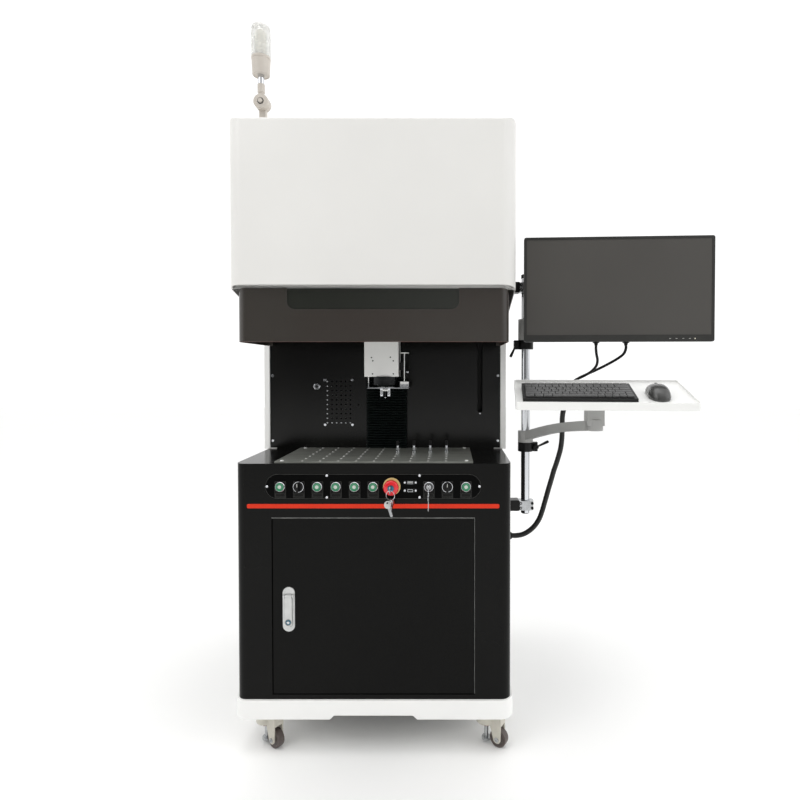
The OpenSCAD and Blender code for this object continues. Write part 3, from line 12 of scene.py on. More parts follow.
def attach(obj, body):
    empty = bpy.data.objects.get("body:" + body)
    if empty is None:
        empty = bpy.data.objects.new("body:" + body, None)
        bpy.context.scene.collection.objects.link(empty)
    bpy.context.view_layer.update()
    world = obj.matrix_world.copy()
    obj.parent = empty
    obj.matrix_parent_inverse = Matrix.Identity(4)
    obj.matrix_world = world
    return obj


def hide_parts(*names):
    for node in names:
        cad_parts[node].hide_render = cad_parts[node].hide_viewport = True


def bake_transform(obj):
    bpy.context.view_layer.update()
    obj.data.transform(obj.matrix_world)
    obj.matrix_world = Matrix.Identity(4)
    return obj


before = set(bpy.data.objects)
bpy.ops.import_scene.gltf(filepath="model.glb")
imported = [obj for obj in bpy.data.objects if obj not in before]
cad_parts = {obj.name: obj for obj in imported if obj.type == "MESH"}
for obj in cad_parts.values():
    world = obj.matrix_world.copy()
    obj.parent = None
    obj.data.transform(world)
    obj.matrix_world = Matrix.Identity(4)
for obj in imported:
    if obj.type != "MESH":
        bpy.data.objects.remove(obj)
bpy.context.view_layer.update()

GRID_Y, TABLE_Z, ROW_PITCH = 146.0, 816.0, 42.0
TOP_Z, ROOF_Z = 812.0, 1750.0
PANEL_Z, PITCH = 749.0, 51.0
ROOT, MM = "machine", 0.001
UP, DOWN, RIGHT, BACK = (0, 0, 1), (0, 0, -1), (1, 0, 0), (0, 1, 0)
OUT = (0, -1, 0)    # towards the operator


def at(x=0, y=0, z=0):
    return Matrix.Translation((x, y, z))


def turned(degrees, axis):
    return Matrix.Rotation(math.radians(degrees), 4, axis)


TO_FRAME = Matrix.Scale(MM, 4) @ at(0, -GRID_Y, -TABLE_Z)


def place(x, y, z):
    """A point of the machine in the frame's metres."""
    return TO_FRAME @ Vector((x, y, z))


# ---------- camera ----------
camera_data = bpy.data.cameras.new("camera")
camera_data.lens = 24.99
camera_data.sensor_width = 36
camera_data.shift_x, camera_data.shift_y = -0.0629, -0.0256
camera = bpy.data.objects.new("camera", camera_data)
camera.location = place(212, -1520, 1072)
camera.rotation_euler = (math.radians(90 - 1.09), 0, 0)
bpy.context.collection.objects.link(camera)
bpy.context.scene.camera = camera


# ---------- materials ----------
def srgb(tone):
    """Linear colour of a tone written as #rrggbb."""
    parts = [int(tone[i:i + 2], 16) / 255 for i in (1, 3, 5)]
    return tuple(((c + 0.055) / 1.055) ** 2.4 if c > 0.04 else c / 12.92 for c in parts) + (1.0,)


def node(nt, kind, **values):
    """A new shader node with its inputs set; an underscore stands for a space."""
    made = nt.nodes.new("ShaderNode" + kind)
    for socket, value in values.items():
        made.inputs[socket.replace("_", " ")].default_value = value
    return made


def wire(nt, *joins):
    for source, output, target, socket in joins:
        nt.links.new(source.outputs[output], target.inputs[socket])


def tone_ramp(nt, *stops):
    made = node(nt, "ValToRGB")
    for element, (spot, tone) in zip(made.color_ramp.elements, stops):
        element.position, element.color = spot, tone
    return made


def bump_from(nt, bsdf, source, output, strength, distance):
    bumper = node(nt, "Bump", Strength=strength, Distance=distance)
    wire(nt, (source, output, bumper, "Height"), (bumper, "Normal", bsdf, "Normal"))


def surface(name, tone, spread=0.12, rough=0.4, rough_spread=0.06, scale=12, grain=900, bump=0.05,
            metal=0.0, spec=0.5, coat=0.0, stretch=(1, 1, 1), glass=0.0, ior=1.5, tint=None):
    """A painted, moulded or machined surface: broad tone changes, fine grain in bump and roughness."""
    m = bpy.data.materials.new(name)
    m.use_nodes = True
    nt = m.node_tree
    bsdf = nt.nodes["Principled BSDF"]
    base = srgb(tone)
    other = srgb(tint) if tint else tuple(c * (1 - spread) for c in base[:3]) + (1.0,)
    coords, mapping = node(nt, "TexCoord"), node(nt, "Mapping", Scale=stretch)
    broad, fine = node(nt, "TexNoise", Scale=scale, Detail=3), node(nt, "TexNoise", Scale=grain, Detail=2)
    ramp = tone_ramp(nt, (0.35, other), (0.65, base))
    spreader = node(nt, "MapRange", To_Min=max(rough - rough_spread, 0.02),
                    To_Max=min(rough + rough_spread, 1.0))
    wire(nt, (coords, "Object", mapping, "Vector"), (mapping, "Vector", broad, "Vector"),
         (mapping, "Vector", fine, "Vector"), (broad, "Fac", ramp, "Fac"), (ramp, "Color", bsdf, "Base Color"),
         (fine, "Fac", spreader, "Value"), (spreader, "Result", bsdf, "Roughness"))
    if bump:
        bump_from(nt, bsdf, fine, "Fac", bump, 0.0003)
    for socket, value in (("Metallic", metal), ("Specular IOR Level", spec), ("Coat Weight", coat),
                          ("Coat Roughness", 0.08), ("Transmission Weight", glass), ("IOR", ior)):
        bsdf.inputs[socket].default_value = value
    return m


def braided(name, tone, light):
    """Black braided sleeve: two crossing sets of threads, from the tube's own UV map."""
    m = surface(name, tone, rough=0.55, bump=0)
    nt = m.node_tree
    bsdf = nt.nodes["Principled BSDF"]
    uv, most = node(nt, "UVMap"), node(nt, "Math")
    most.operation = "MAXIMUM"
    for i, lean in enumerate((42, -42)):
        mapping = node(nt, "Mapping", Rotation=(0, 0, math.radians(lean)))
        wave = node(nt, "TexWave", Scale=1.0)
        wire(nt, (uv, "UV", mapping, "Vector"), (mapping, "Vector", wave, "Vector"), (wave, "Fac", most, i))
    ramp = tone_ramp(nt, (0.45, srgb(tone)), (1.0, srgb(light)))
    wire(nt, (most, "Value", ramp, "Fac"), (ramp, "Color", bsdf, "Base Color"))
    bump_from(nt, bsdf, most, "Value", 0.6, 0.0006)
    return m


# name, tone and its spread, roughness and its spread, scale of the tone, scale of the grain, bump
WHITE = surface("white_powder_coat", "#e5e4e1", 0.03, 0.42, 0.05, 3, 700, 0.10)
PLINTH_WHITE = surface("plinth_white", "#fcfcfa", 0.03, 0.42, 0.05, 3, 700, 0.10)
TRAY_WHITE = surface("tray_white", "#f6f6f4", 0.02, 0.35, 0.05, 4, 800, 0.06)
BLACK = surface("black_satin_paint", "#0d0d0c", 0.25, 0.20, 0.04, 2.5, 800, 0.08, spec=0.12)
DOOR_BLACK = surface("door_black_paint", "#0d0d0c", 0.25, 0.28, 0.04, 2.5, 800, 0.08, spec=0.10)
# light grey laid on rounded edges where they catch the light: painted highlight
EDGE_HIGHLIGHT = surface("painted_edge_highlight_grey", "#a8aaa7", 0.3, 0.4, 0.1, 60, spec=0.4)
# warm black paint lifted to a grey-brown: partly its own warm tint, partly a painted reflection of the bright
# room
SHIELD = surface("shield_warm_black", "#373430", 0.22, 0.26, 0.05, 3, tint="#342f2b")
WALL_BLACK = surface("chamber_black", "#10100e", 0.6, 0.20, 0.05, 4, 800, 0.06, spec=0.30)
PANEL = surface("panel_black", "#050505", 0.3, 0.36, 0.04, 8, 1000, 0.04, spec=0.05)
LEGEND = surface("legend_black", "#181817", 0.3, 0.38, 0.04, 40, 1500, 0.04, spec=0.12)
LEGEND_LINE = surface("legend_line", "#4a4a47", 0.25, 0.45, 0.05, 80, 1500)
STRIPE = surface("red_stripe", "#de3418", 0.08, 0.36, 0.05, 14, spec=0.2)
TABLE = surface("table_anodised", "#a0a29b", 0.35, 0.34, 0.08, 6, 160, 0.15, metal=0.45,
                stretch=(1, 14, 1))
# near white standing in for the glints on hole rims, screw heads and the plate's front edge: painted highlight
RIM_GLINT_WHITE = surface("painted_glint_hole_rim", "#fafaf8", 0.06, 0.34, 0.06, 60, metal=0.3)
CHROME = surface("chrome", "#d8dade", 0.05, 0.10, 0.04, 30, 900, 0.03, metal=1.0)
STEEL = surface("ground_steel", "#bcbec0", 0.14, 0.28, 0.08, 40, 600, 0.10, metal=1.0)
DARK_STEEL = surface("dark_steel", "#606162", 0.3, 0.35, 0.08, 40, 600, 0.10, metal=0.9)
ALU = surface("silver_head", "#fafaf7", 0.04, 0.36, 0.06, 10, 500, 0.08, metal=0.1)
LENS_BODY = surface("lens_black", "#1a1c1d", 0.3, 0.24, 0.06, 30, metal=0.6)
LENS_GLASS = surface("lens_glass", "#3c5460", 0.2, 0.04, 0.02, 30, 400, 0, glass=0.7, coat=0.6)
PLASTIC = surface("black_plastic", "#121212", 0.25, 0.46, 0.07, 30, 1400, 0.22, spec=0.25)
SATIN_BLACK = surface("satin_black_metal", "#0e0e0e", 0.25, 0.34, 0.06, 20, 900, 0.10, spec=0.25)
BELLOWS = surface("bellows_fabric", "#202827", 0.35, 0.40, 0.10, 60, 1800, 0.35, spec=0.6)
GREEN = surface("green_ring", "#2e845c", 0.18, 0.26, 0.05, 120, coat=0.4)
BUTTON_WHITE = surface("button_white", "#c4cec4", 0.10, 0.30, 0.05, 160, coat=0.3)
RED = surface("estop_red", "#e21422", 0.10, 0.24, 0.05, 60, coat=0.5)
YELLOW = surface("collar_yellow", "#e2c482", 0.14, 0.36, 0.06, 60)
BLUE = surface("lock_blue", "#4a8098", 0.3, 0.22, 0.05, 120, metal=0.8)
LOCK_METAL = surface("lock_satin", "#cecfce", 0.10, 0.34, 0.06, 50, 1200, 0.12, metal=0.5)
TEAL = surface("lock_teal", "#145c70", 0.25, 0.28, 0.05, 160, coat=0.4)
BEIGE = surface("lamp_beige", "#c4bdb4", 0.06, 0.36, 0.05, 30, 1200, 0.08)
CLEAR = surface("lamp_lens", "#f6f6f4", 0.03, 0.14, 0.04, 60, 300, glass=0.55, ior=1.3)
LED_WHITE = surface("led_column", "#eee8d6", 0.08, 0.4, 0.05, 200)
ARM_GREY = surface("arm_grey", "#a6a6a4", 0.07, 0.38, 0.05, 8, 900, 0.10)
CREAM = surface("caster_cream", "#cecabe", 0.10, 0.36, 0.06, 40, 900, 0.10)
WHEEL = surface("caster_nylon", "#584e4a", 0.2, 0.42, 0.08, 80, 1200, 0.2)
DIAL_RED = surface("dial_red", "#70161e", 0.2, 0.38, 0.06, 80, 1200, 0.15)
SCREEN = surface("matte_screen", "#4e4c49", 0.10, 0.34, 0.03, 2, 2400, 0.03, spec=0.35)
BEZEL = surface("monitor_plastic", "#2e2e2c", 0.2, 0.40, 0.05, 10, 1600, 0.12, spec=0.4)
MARK = surface("pale_mark", "#c4c4c0", 0.1, 0.5, 0.05, 200)
# black keys given a mid grey: partly their white legends, partly a painted highlight for their gloss
KEYCAP = surface("keycap_black", "#545454", 0.25, 0.42, 0.06, 60, 1800, 0.18)
KEYBED = surface("keyboard_case", "#111111", 0.2, 0.44, 0.06, 30, 1600, 0.18, spec=0.4)
MOUSE = surface("mouse_grey", "#464645", 0.2, 0.24, 0.05, 40, 1600, 0.08, coat=0.3)
MACHINE_GREY = surface("equipment_grey", "#96989a", 0.12, 0.40, 0.06, 8, 900, 0.12)
CABLE = surface("cable_jacket", "#0a0a0a", 0.3, 0.42, 0.07, 60, 1500, 0.10, spec=0.2)
BRAID = braided("braided_sleeve", "#060606", "#222221")
GLASS = surface("shield_glass", "#30322d", 0.12, 0.08, 0.02, 3, 400, 0.0, spec=0.6, glass=0.25)
FLOOR = surface("floor_pale", "#fcfcfb", 0.01, 0.6, 0.05, 1.5, 60, 0.02, spec=0.2)
RUST = surface("shield_edge_brown", "#6c483e", 0.35, 0.34, 0.08, 9, 700)


# ---------- building ----------
def circle(r, n):
    return [(r * math.cos(2 * math.pi * i / n), r * math.sin(2 * math.pi * i / n)) for i in range(n)]


def rounded(w, h, r, n=6, cx=0.0, cy=0.0):
    """Outline of a rectangle with round corners, anticlockwise."""
    pts = []
    for k, (sx, sy) in enumerate(((1, -1), (1, 1), (-1, 1), (-1, -1))):
        for i in range(n + 1):
            a = math.radians(-90 + 90 * k + 90 * i / n)
            pts.append((cx + sx * (w / 2 - r) + r * math.cos(a), cy + sy * (h / 2 - r) + r * math.sin(a)))
    return pts


FRONT = Matrix(((1, 0, 0, 0), (0, 0, -1, 0), (0, 1, 0, 0), (0, 0, 0, 1)))   # u=x, v=z, out=-y
SIDE = Matrix(((0, 0, 1, 0), (1, 0, 0, 0), (0, 1, 0, 0), (0, 0, 0, 1)))     # u=y, v=z, out=+x
FLAT = Matrix.Identity(4)


def round_edges(bm, edges, width, seg, **more):
    bmesh.ops.bevel(bm, geom=edges, offset=width, segments=seg, profile=0.5, affect="EDGES", **more)


class Build:
    """Gathers shapes of one visible piece, in millimetres, with a material for each. Its m places
    the whole piece, and a shape's own m places the shape in it."""

    def __init__(self, m=FLAT):
        self.bm, self.mats, self.m = bmesh.new(), [], m
        self.uv = self.bm.loops.layers.uv.new("UVMap")

    def index(self, mat):
        if mat not in self.mats:
            self.mats.append(mat)
        return self.mats.index(mat)

    def take(self, part, mat, m=FLAT):
        """Adds another bmesh's faces."""
        bmesh.ops.recalc_face_normals(part, faces=part.faces)
        part.verts.index_update()
        k, spot = self.index(mat), self.m @ m
        made = [self.bm.verts.new(spot @ v.co) for v in part.verts]
        for f in part.faces:
            self.bm.faces.new([made[v.index] for v in f.verts]).material_index = k
        part.free()

    def box(self, a, b, mat, bevel=0.8, seg=2, m=FLAT):
        part = bmesh.new()
        a, b = Vector(a), Vector(b)
        bmesh.ops.create_cube(part, size=1)
        for v in part.verts:
            v.co = Vector([(a[i] + b[i]) / 2 + v.co[i] * abs(b[i] - a[i]) for i in range(3)])
        if bevel:
            round_edges(part, part.edges[:], bevel, seg)
        self.take(part, mat, m)

    def prism(self, pts, h0, h1, mat, bevel=0.0, seg=2, m=FLAT, hole=None):
        """Outline in the plane's u and v, from height h0 to h1; hole is an outline with as many points."""
        part = bmesh.new()
        n = len(pts)
        low, high, low2, high2 = ([part.verts.new((x, y, h)) for x, y in outline]
                                  for outline, h in ((pts, h0), (pts, h1), (hole or (), h0), (hole or (), h1)))
        if not hole:
            part.faces.new(low[::-1])
            part.faces.new(high)
        for i in range(n):
            j = (i + 1) % n
            part.faces.new((low[i], low[j], high[j], high[i]))
            if hole:
                part.faces.new((low2[j], low2[i], high2[i], high2[j]))
                part.faces.new((high[i], high[j], high2[j], high2[i]))
                part.faces.new((low[j], low[i], low2[i], low2[j]))
        if bevel:
            rim = [e for e in part.edges if e.verts[0].co.z == e.verts[1].co.z and e.verts[0].co.z in (h0, h1)
                   and e.calc_face_angle(0) > 0.6]
            round_edges(part, rim, bevel, seg)
        self.take(part, mat, m)

    def front(self, pts, h0, h1, mat, bevel=0.0, seg=2, hole=None):
        """A prism whose outline is seen from the front."""
        self.prism(pts, h0, h1, mat, bevel, seg, FRONT, hole)

    def lathe(self, base, axis, profile, mat, n=40, flute=None, m=FLAT):
        """Profile of (radius, height) turned about axis through base; flute=(count, depth, from which
        radius) waves the radius."""
        part = bmesh.new()
        spot = m @ Matrix.Translation(base) @ Vector(UP).rotation_difference(Vector(axis)).to_matrix().to_4x4()
        rings = []
        for r, h in profile:
            if r < 1e-6:
                rings.append([part.verts.new((0, 0, h))])
                continue
            waves = [1] * n
            if flute and r > flute[2]:
                waves = [1 - flute[1] / r * (0.5 + 0.5 * math.cos(flute[0] * 2 * math.pi * i / n))
                         for i in range(n)]
            rings.append([part.verts.new((q * x, q * y, h)) for q, (x, y) in zip(waves, circle(r, n))])
        for lo, hi in zip(rings, rings[1:]):
            for i in range(n):
                j = (i + 1) % n
                if len(lo) == 1 and len(hi) == 1:
                    break
                if len(lo) == 1:
                    part.faces.new((lo[0], hi[j], hi[i]))
                elif len(hi) == 1:
                    part.faces.new((lo[i], lo[j], hi[0]))
                else:
                    part.faces.new((lo[i], lo[j], hi[j], hi[i]))
        if profile[0] != profile[-1]:
            for ends in (rings[0][::-1], rings[-1]):
                if len(ends) > 1:
                    part.faces.new(ends)
        bmesh.ops.remove_doubles(part, verts=part.verts[:], dist=1e-4)
        self.take(part, mat, spot)

    def tube(self, pts, r, mat, n=12, closed=False):
        """A round tube along points, with a UV map whose unit is a quarter of a turn round it."""
        pts = [self.m @ Vector(p) for p in pts]
        k, count = self.index(mat), len(pts)
        u = None
        rings, along = [], 0.0
        for i, p in enumerate(pts):
            if closed:
                t = (pts[(i + 1) % count] - pts[i - 1]).normalized()
            else:
                t = (pts[min(i + 1, count - 1)] - pts[max(i - 1, 0)]).normalized()
            if u is None:
                u = t.cross(Vector((0.3, 1, 0.2))).normalized()
            u = (u - t * u.dot(t)).normalized()
            v = t.cross(u)
            along += (p - pts[i - 1]).length if i else 0
            rings.append(([self.bm.verts.new(p + x * u + y * v) for x, y in circle(r, n)], along))
        pairs = list(zip(rings, rings[1:])) + ([(rings[-1], (rings[0][0], along))] if closed else [])
        for (lo, s0), (hi, s1) in pairs:
            for j in range(n):
                f = self.bm.faces.new((lo[j], lo[(j + 1) % n], hi[(j + 1) % n], hi[j]))
                f.material_index = k
                spots = ((j, s0), (j + 1, s0), (j + 1, s1), (j, s1))
                for loop, (a, s) in zip(f.loops, spots):
                    loop[self.uv].uv = (a / n * 4, s / (math.pi * r / 2))
        if not closed:
            for ring, flip in ((rings[0][0], True), (rings[-1][0], False)):
                f = self.bm.faces.new(ring[::-1] if flip else ring)
                f.material_index = k

    def screw(self, base, axis, r, h, mat=STEEL, socket=True):
        """Socket or pan head screw standing on a face."""
        hex_r = r * 0.5
        profile = [(r, 0), (r, h * 0.7), (r * 0.86, h)]
        profile += [(hex_r, h), (hex_r, h * 0.45), (0, h * 0.45)] if socket else [(0, h)]
        self.lathe(base, axis, profile, mat, n=12)

    def done(self, name, body, slot, *nodes, angle=35):
        """Turns the gathered shapes into an object that rides on a body."""
        mesh = bpy.data.meshes.new(name)
        self.bm.transform(TO_FRAME)
        self.bm.to_mesh(mesh)
        self.bm.free()
        return finish_piece(mesh, self.mats, name, body, nodes, angle)


def finish_piece(mesh, mats, name, body, nodes, angle):
    for mat in mats:
        mesh.materials.append(mat)
    mesh.shade_smooth()
    mesh.set_sharp_from_angle(angle=math.radians(angle))
    obj = bpy.data.objects.new(name, mesh)
    bpy.context.collection.objects.link(obj)
    if body:
        # flat faces keep their own shading next to the rounded edges
        obj.modifiers.new("weighted_normals", "WEIGHTED_NORMAL").keep_sharp = True
        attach(obj, body)
    if nodes:
        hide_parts(*nodes)
    return obj


def islands(bm):
    """Low and high corner, in machine millimetres, of the connected part that each face is in."""
    back = TO_FRAME.inverted()
    seen, found = set(), {}
    for start in bm.faces:
        if start.index in seen:
            continue
        stack, group = [start], []
        seen.add(start.index)
        while stack:
            f = stack.pop()
            group.append(f)
            for e in f.edges:
                for g in e.link_faces:
                    if g.index not in seen:
                        seen.add(g.index)
                        stack.append(g)
        co = [back @ v.co for f in group for v in f.verts]
        low = Vector([min(c[i] for c in co) for i in range(3)])
        high = Vector([max(c[i] for c in co) for i in range(3)])
        for f in group:
            found[f.index] = (low, high)
    return found


HARD_EDGE = math.radians(32)


def skin(cad, body, mats, rule=None, bevel=0.8, seg=2, keep=None, bright=None):
    """A piece made from a CAD node's own shape with its hard edges rounded. rule(face centre, normal, low,
    high) gives an index into mats, low and high being the corners of the solid that the face is on;
    keep(low, high) tells which solids stay; bright(face centre, normal) picks rounded edges that take
    the last of mats."""
    bm = bmesh.new()
    bm.from_mesh(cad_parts[cad].data)
    bmesh.ops.remove_doubles(bm, verts=bm.verts[:], dist=2e-6)
    bmesh.ops.dissolve_limit(bm, angle_limit=math.radians(0.5), verts=bm.verts[:], edges=bm.edges[:])
    bm.faces.index_update()
    back = TO_FRAME.inverted()
    if rule or keep:
        part_of, dead = islands(bm), []
        for f in bm.faces:
            low, high = part_of[f.index]
            if keep and not keep(low, high):
                dead.append(f)
            elif rule:
                f.material_index = int(rule(back @ f.calc_center_median(), f.normal, low, high))
        bmesh.ops.delete(bm, geom=dead, context="FACES")
    width = bevel * MM
    edges = [e for e in bm.edges if len(e.link_faces) == 2 and e.calc_face_angle(0) > HARD_EDGE
             and e.calc_length() > 0.4 * width]
    round_edges(bm, edges, width, seg, clamp_overlap=True)
    # faces picked by bright take the last of mats, a painted highlight on rounded edges
    if bright:
        bm.normal_update()
        for f in bm.faces:
            if bright(back @ f.calc_center_median(), f.normal):
                f.material_index = len(mats) - 1
    mesh = bpy.data.meshes.new(cad)
    bm.to_mesh(mesh)
    bm.free()
    finish_piece(mesh, mats, cad + "_skin", body, [cad], 35)


# ---------- profiles of turned shapes, as (radius, height) ----------
def pin(r, low, top):
    return [(r, low), (r, top), (0, top)]


def cap(r, shoulder, edge, top, low=0):
    return [(r, low), (r, shoulder), (edge, top), (0, top)]


def dish(r, shoulder, edge, top, rim, well, floor, low=0):
    return [(r, low), (r, shoulder), (edge, top), (rim, top), (well, floor), (0, floor)]


def sleeve(r, inner, low, top):
    return [(r, low), (r, top), (inner, top), (inner, low), (r, low)]


# ---------- cables ----------
CORD_A = [(639.1, 109.6, 1141.6), (639.1, 109.6, 1130), (642, 114, 1114), (648, 126, 1098), (649, 144, 1081),
          (641, 164, 1066), (628, 182, 1054), (614, 198, 1045), (602, 211, 1038), (597, 218, 1030),
          (597, 218, 1020.4)]
CORD_B = [(725, 104.5, 1141.6), (725, 104.5, 1131), (720, 110, 1116), (706, 124, 1102), (687, 144, 1088),
          (665, 164, 1074), (645, 184, 1062), (627, 202, 1052), (613, 218, 1043), (608, 226, 1033),
          (608, 226, 1020.4)]
BUNDLE = [(602, 222, 1019.6), (602, 222, 1010), (598, 223, 997), (589, 226, 980), (577, 228, 962),
          (569, 230, 942), (566, 232, 920), (566, 234, 896), (566, 235, 872), (565, 236, 846), (562, 238, 820),
          (556, 239, 796), (549, 240, 772), (541, 241, 748), (534, 242, 722), (526, 243, 694),
          (519, 244, 668), (512, 245, 642), (505, 245, 618), (496, 245, 594), (482, 245, 572),
          (464, 245, 555), (444, 245, 544), (424, 245, 540), (408.3, 245, 540)]


def smooth_route(points, n):
    """Points on a smooth curve through the route's own points, n to each stretch."""
    p = [Vector(q) for q in points]
    out = []
    for i in range(len(p) - 1):
        a, b, c, d = p[max(i - 1, 0)], p[i], p[i + 1], p[min(i + 2, len(p) - 1)]
        for k in range(n):
            f = k / n
            out.append(0.5 * ((2 * b) + (c - a) * f + (2 * a - 5 * b + 4 * c - d) * f ** 2
                              + (3 * b - a - 3 * c + d) * f ** 3))
    return out + [p[-1]]


def make_cord(name, route, radius, mat, body, nodes, blend_to=None):
    pts = smooth_route(route, 4)
    b = Build()
    b.tube(pts, radius, mat, 16)
    cord = b.done(name, None if blend_to else body, "cable_rubber", *nodes, angle=60)
    path = [TO_FRAME @ p for p in pts]
    length = sum((q - p).length for p, q in zip(path, path[1:]))
    if blend_to:
        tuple(path[-1])
        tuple(path[0])
        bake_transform(cord)
    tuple(path[0])


make_cord("cable_bundle_sleeve", BUNDLE[::-1], 8, BRAID, ROOT, ["cable_bundle"])
make_cord("screen_power_lead", CORD_A, 4, CABLE, ROOT, ["monitor_cables"],
          blend_to="monitor_arm_body")
make_cord("screen_video_lead", CORD_B, 4, CABLE, ROOT, [], blend_to="monitor_arm_body")

b = Build()
b.lathe((602, 222, 1000), (0.12, 0, 1), [(8.4, 0), (9, 2), (11.4, 12), (11.8, 26), (10.4, 34), (8, 37),
                                         (0, 37)], PLASTIC, 32)
b.done("cable_split_sleeve", ROOT, "cable_rubber")


# ---------- base ----------
skin("plinth", ROOT, [PLINTH_WHITE], bevel=1.5)
# the cabinet's rounded top front edge takes the light grey: painted highlight
skin("cabinet_shell", ROOT, [BLACK, EDGE_HIGHLIGHT], bevel=1.4,
     bright=lambda c, n: c.z > TOP_Z - 2 and c.y < 2 and -n.y > 0.3 and n.z > 0.3)
# the plate's rounded front edge takes the near white: painted highlight
skin("work_table", ROOT, [TABLE, RIM_GLINT_WHITE], bevel=0.7,
     bright=lambda c, n: c.y < 11 and -n.y > 0.3 and n.z > 0.1)
skin("trim_stripe", ROOT, [STRIPE], bevel=0.5)

# near white rims in the holes and on the corner screw heads: painted glints
b = Build()
for col, row in product(range(-4, 5), range(-3, 4)):
    b.lathe((50 * col, GRID_Y + ROW_PITCH * row, TABLE_Z), UP,
            [(3.3, -0.4), (3.3, 0.7), (2.8, 0.8), (2.6, -1.2), (2.6, -1.6), (3.3, -0.4)], RIM_GLINT_WHITE, 16)
for x, y in product((-257, 257), (22, 272)):
    b.screw((x, y, TABLE_Z), UP, 5.2, 2.2, RIM_GLINT_WHITE)
b.done("table_hole_rims", ROOT, "ground_steel")

b = Build()
for col in range(1, 5):
    foot = (50 * col, GRID_Y + ROW_PITCH, TABLE_Z)
    b.lathe(foot, UP, [(6.2, 0), (6.2, 4.6), (5, 6), (3.7, 6.4), (3.7, 19), (3, 20.4), (0, 20.4)], CHROME, 24)
    b.lathe(foot, UP, [(2.9, 20), (4.6, 20.6), (4.6, 33), (3.6, 35), (0, 35)], PLASTIC, 24, (12, 0.7, 4))
b.done("locating_pin_set", ROOT, "ground_steel", "locating_pins")

# painted highlight: light grey strips where the folded edge of the opening catches the light beside and above
# the door
b = Build()
b.box((278.6, 1.9, 172), (279.8, 19, 661), EDGE_HIGHLIGHT, 0.2, 1)
b.box((-279.6, 0.4, 661.3), (279.8, 8, 662.7), EDGE_HIGHLIGHT, 0.2, 1)
b.done("door_reveal_highlight", ROOT, "black_paint")

# ---------- control panel ----------
LEGEND_Y = -1
PANEL_MID = at(0, 0, PANEL_Z)
b = Build(PANEL_MID)
b.front(rounded(594, 69, 34.4, 16), -2, -0.5, PANEL, 0.4)
b.done("control_panel_plate", ROOT, "panel_black", "control_panel")
b = Build(PANEL_MID)
b.front(rounded(592.6, 67.6, 33.7, 16), -0.4, -0.15, LEGEND_LINE, hole=rounded(591.4, 66.4, 33.1, 16))
b.done("panel_edge_line", ROOT, "panel_black")

BUTTONS, SELECTORS, ESTOP, USB, KEY = (-5, -3, -2, -1, 0, 5), (-4, 4), 1, 2, 3


def bezel(b, x, outer, inner):
    b.lathe((x, LEGEND_Y, 0), OUT, [(outer, 0), (outer, 3.2), (outer - 0.7, 5), (outer - 1.8, 6),
                                    (inner + 0.6, 6), (inner, 5.4), (inner, 0.2), (outer, 0)], CHROME, 48)


def barrel(b, x):
    b.lathe((x, LEGEND_Y, 0), BACK, [(11, 0), (11, 35), (9, 35), (9, 0.5), (11, 0)], PLASTIC, 32)
    b.box((x - 14, 34, -14), (x + 14, 60, 14), PLASTIC, 1.5)


b = Build(PANEL_MID)
for s in BUTTONS:
    bezel(b, s * PITCH, 14.4, 11.5)
for s in SELECTORS:
    bezel(b, s * PITCH, 15.2, 14)
bezel(b, KEY * PITCH, 14.4, 11.3)
for s in BUTTONS + SELECTORS + (KEY, ESTOP):
    barrel(b, s * PITCH)
for s in BUTTONS + SELECTORS + (KEY,):
    x, z = s * PITCH, -9
    b.front(rounded(31, 46, 2, 3, x, z), -0.5, 1, LEGEND, 0.3, 1)
    b.front(rounded(30.2, 45.2, 1.8, 3, x, z), 1, 1.12, LEGEND_LINE, hole=rounded(29.4, 44.4, 1.4, 3, x, z))
    b.front(rounded(26, 9, 1.2, 3, x, z - 15), 1, 1.12, LEGEND_LINE, hole=rounded(25.2, 8.2, 0.9, 3, x, z - 15))
for dz in (-11, 11):
    x, z = USB * PITCH, dz
    b.front(rounded(38, 12, 3, 4, x, z), -0.5, 1.5, LEGEND, 0.5)
    b.front(rounded(14.6, 6.8, 1, 3, x, z), 1.4, 2, CHROME, hole=rounded(13, 5.2, 0.6, 3, x, z))
    b.box((x - 5.6, -1.7, z - 0.4), (x + 5.6, -1, z + 1.6), MARK if dz > 0 else PLASTIC, 0.1, 1)
    for dx in (-15, 15):
        b.screw((x + dx, -1.5, z), OUT, 2.9, 1.6, CHROME)
for dx, dz in ((-292, 0), (292, 0), (-127.5, 30), (-127.5, -30), (127.5, 30), (127.5, -30)):
    b.screw((dx, 0.5, dz), OUT, 3.6, 1.9, CHROME)
x = ESTOP * PITCH
b.lathe((x, 0.5, 0), OUT, [(24, 0), (24, 1.6), (23, 2.5), (14, 2.5), (12, 1.8), (12, 0), (24, 0)], YELLOW, 56)
b.done("control_bezels", ROOT, "bright_steel", "control_fittings")

for i, s in enumerate(BUTTONS, 1):
    b = Build(PANEL_MID)
    face = (s * PITCH, -4.5, 0)
    b.lathe(face, OUT, [(11.1, 0), (11.1, 4.2), (10.3, 5), (5.6, 4.6), (5.1, 4), (0, 4)], GREEN)
    b.lathe(face, OUT, [(4.9, 3.8), (4.9, 4.9), (4.2, 5.4), (2.4, 5.1), (0, 4.9)], BUTTON_WHITE, 32)
    b.lathe(face, BACK, pin(8.7, -0.2, 26), PLASTIC, 32)
    b.done(f"button_cap_{i}", f"button_{i}", "button_green", f"push_button_{i}")

for i, s in enumerate(SELECTORS, 1):
    b = Build(PANEL_MID)
    x = s * PITCH
    b.lathe((x, -3, 0), OUT, cap(13.4, 5, 12.4, 6), SATIN_BLACK)
    b.lathe((x, -3, 0), BACK, pin(8.7, -0.2, 21), PLASTIC, 32)
    b.box((x - 3.4, -21, -12), (x + 3.4, -9, 12), PLASTIC, 1.6)
    b.box((x - 0.8, -21.3, 2), (x + 0.8, -20.7, 11), MARK, 0.2, 1)
    b.done(f"selector_knob_{i}_cap", f"selector_knob_{i}", "black_plastic", f"selector_{i}")


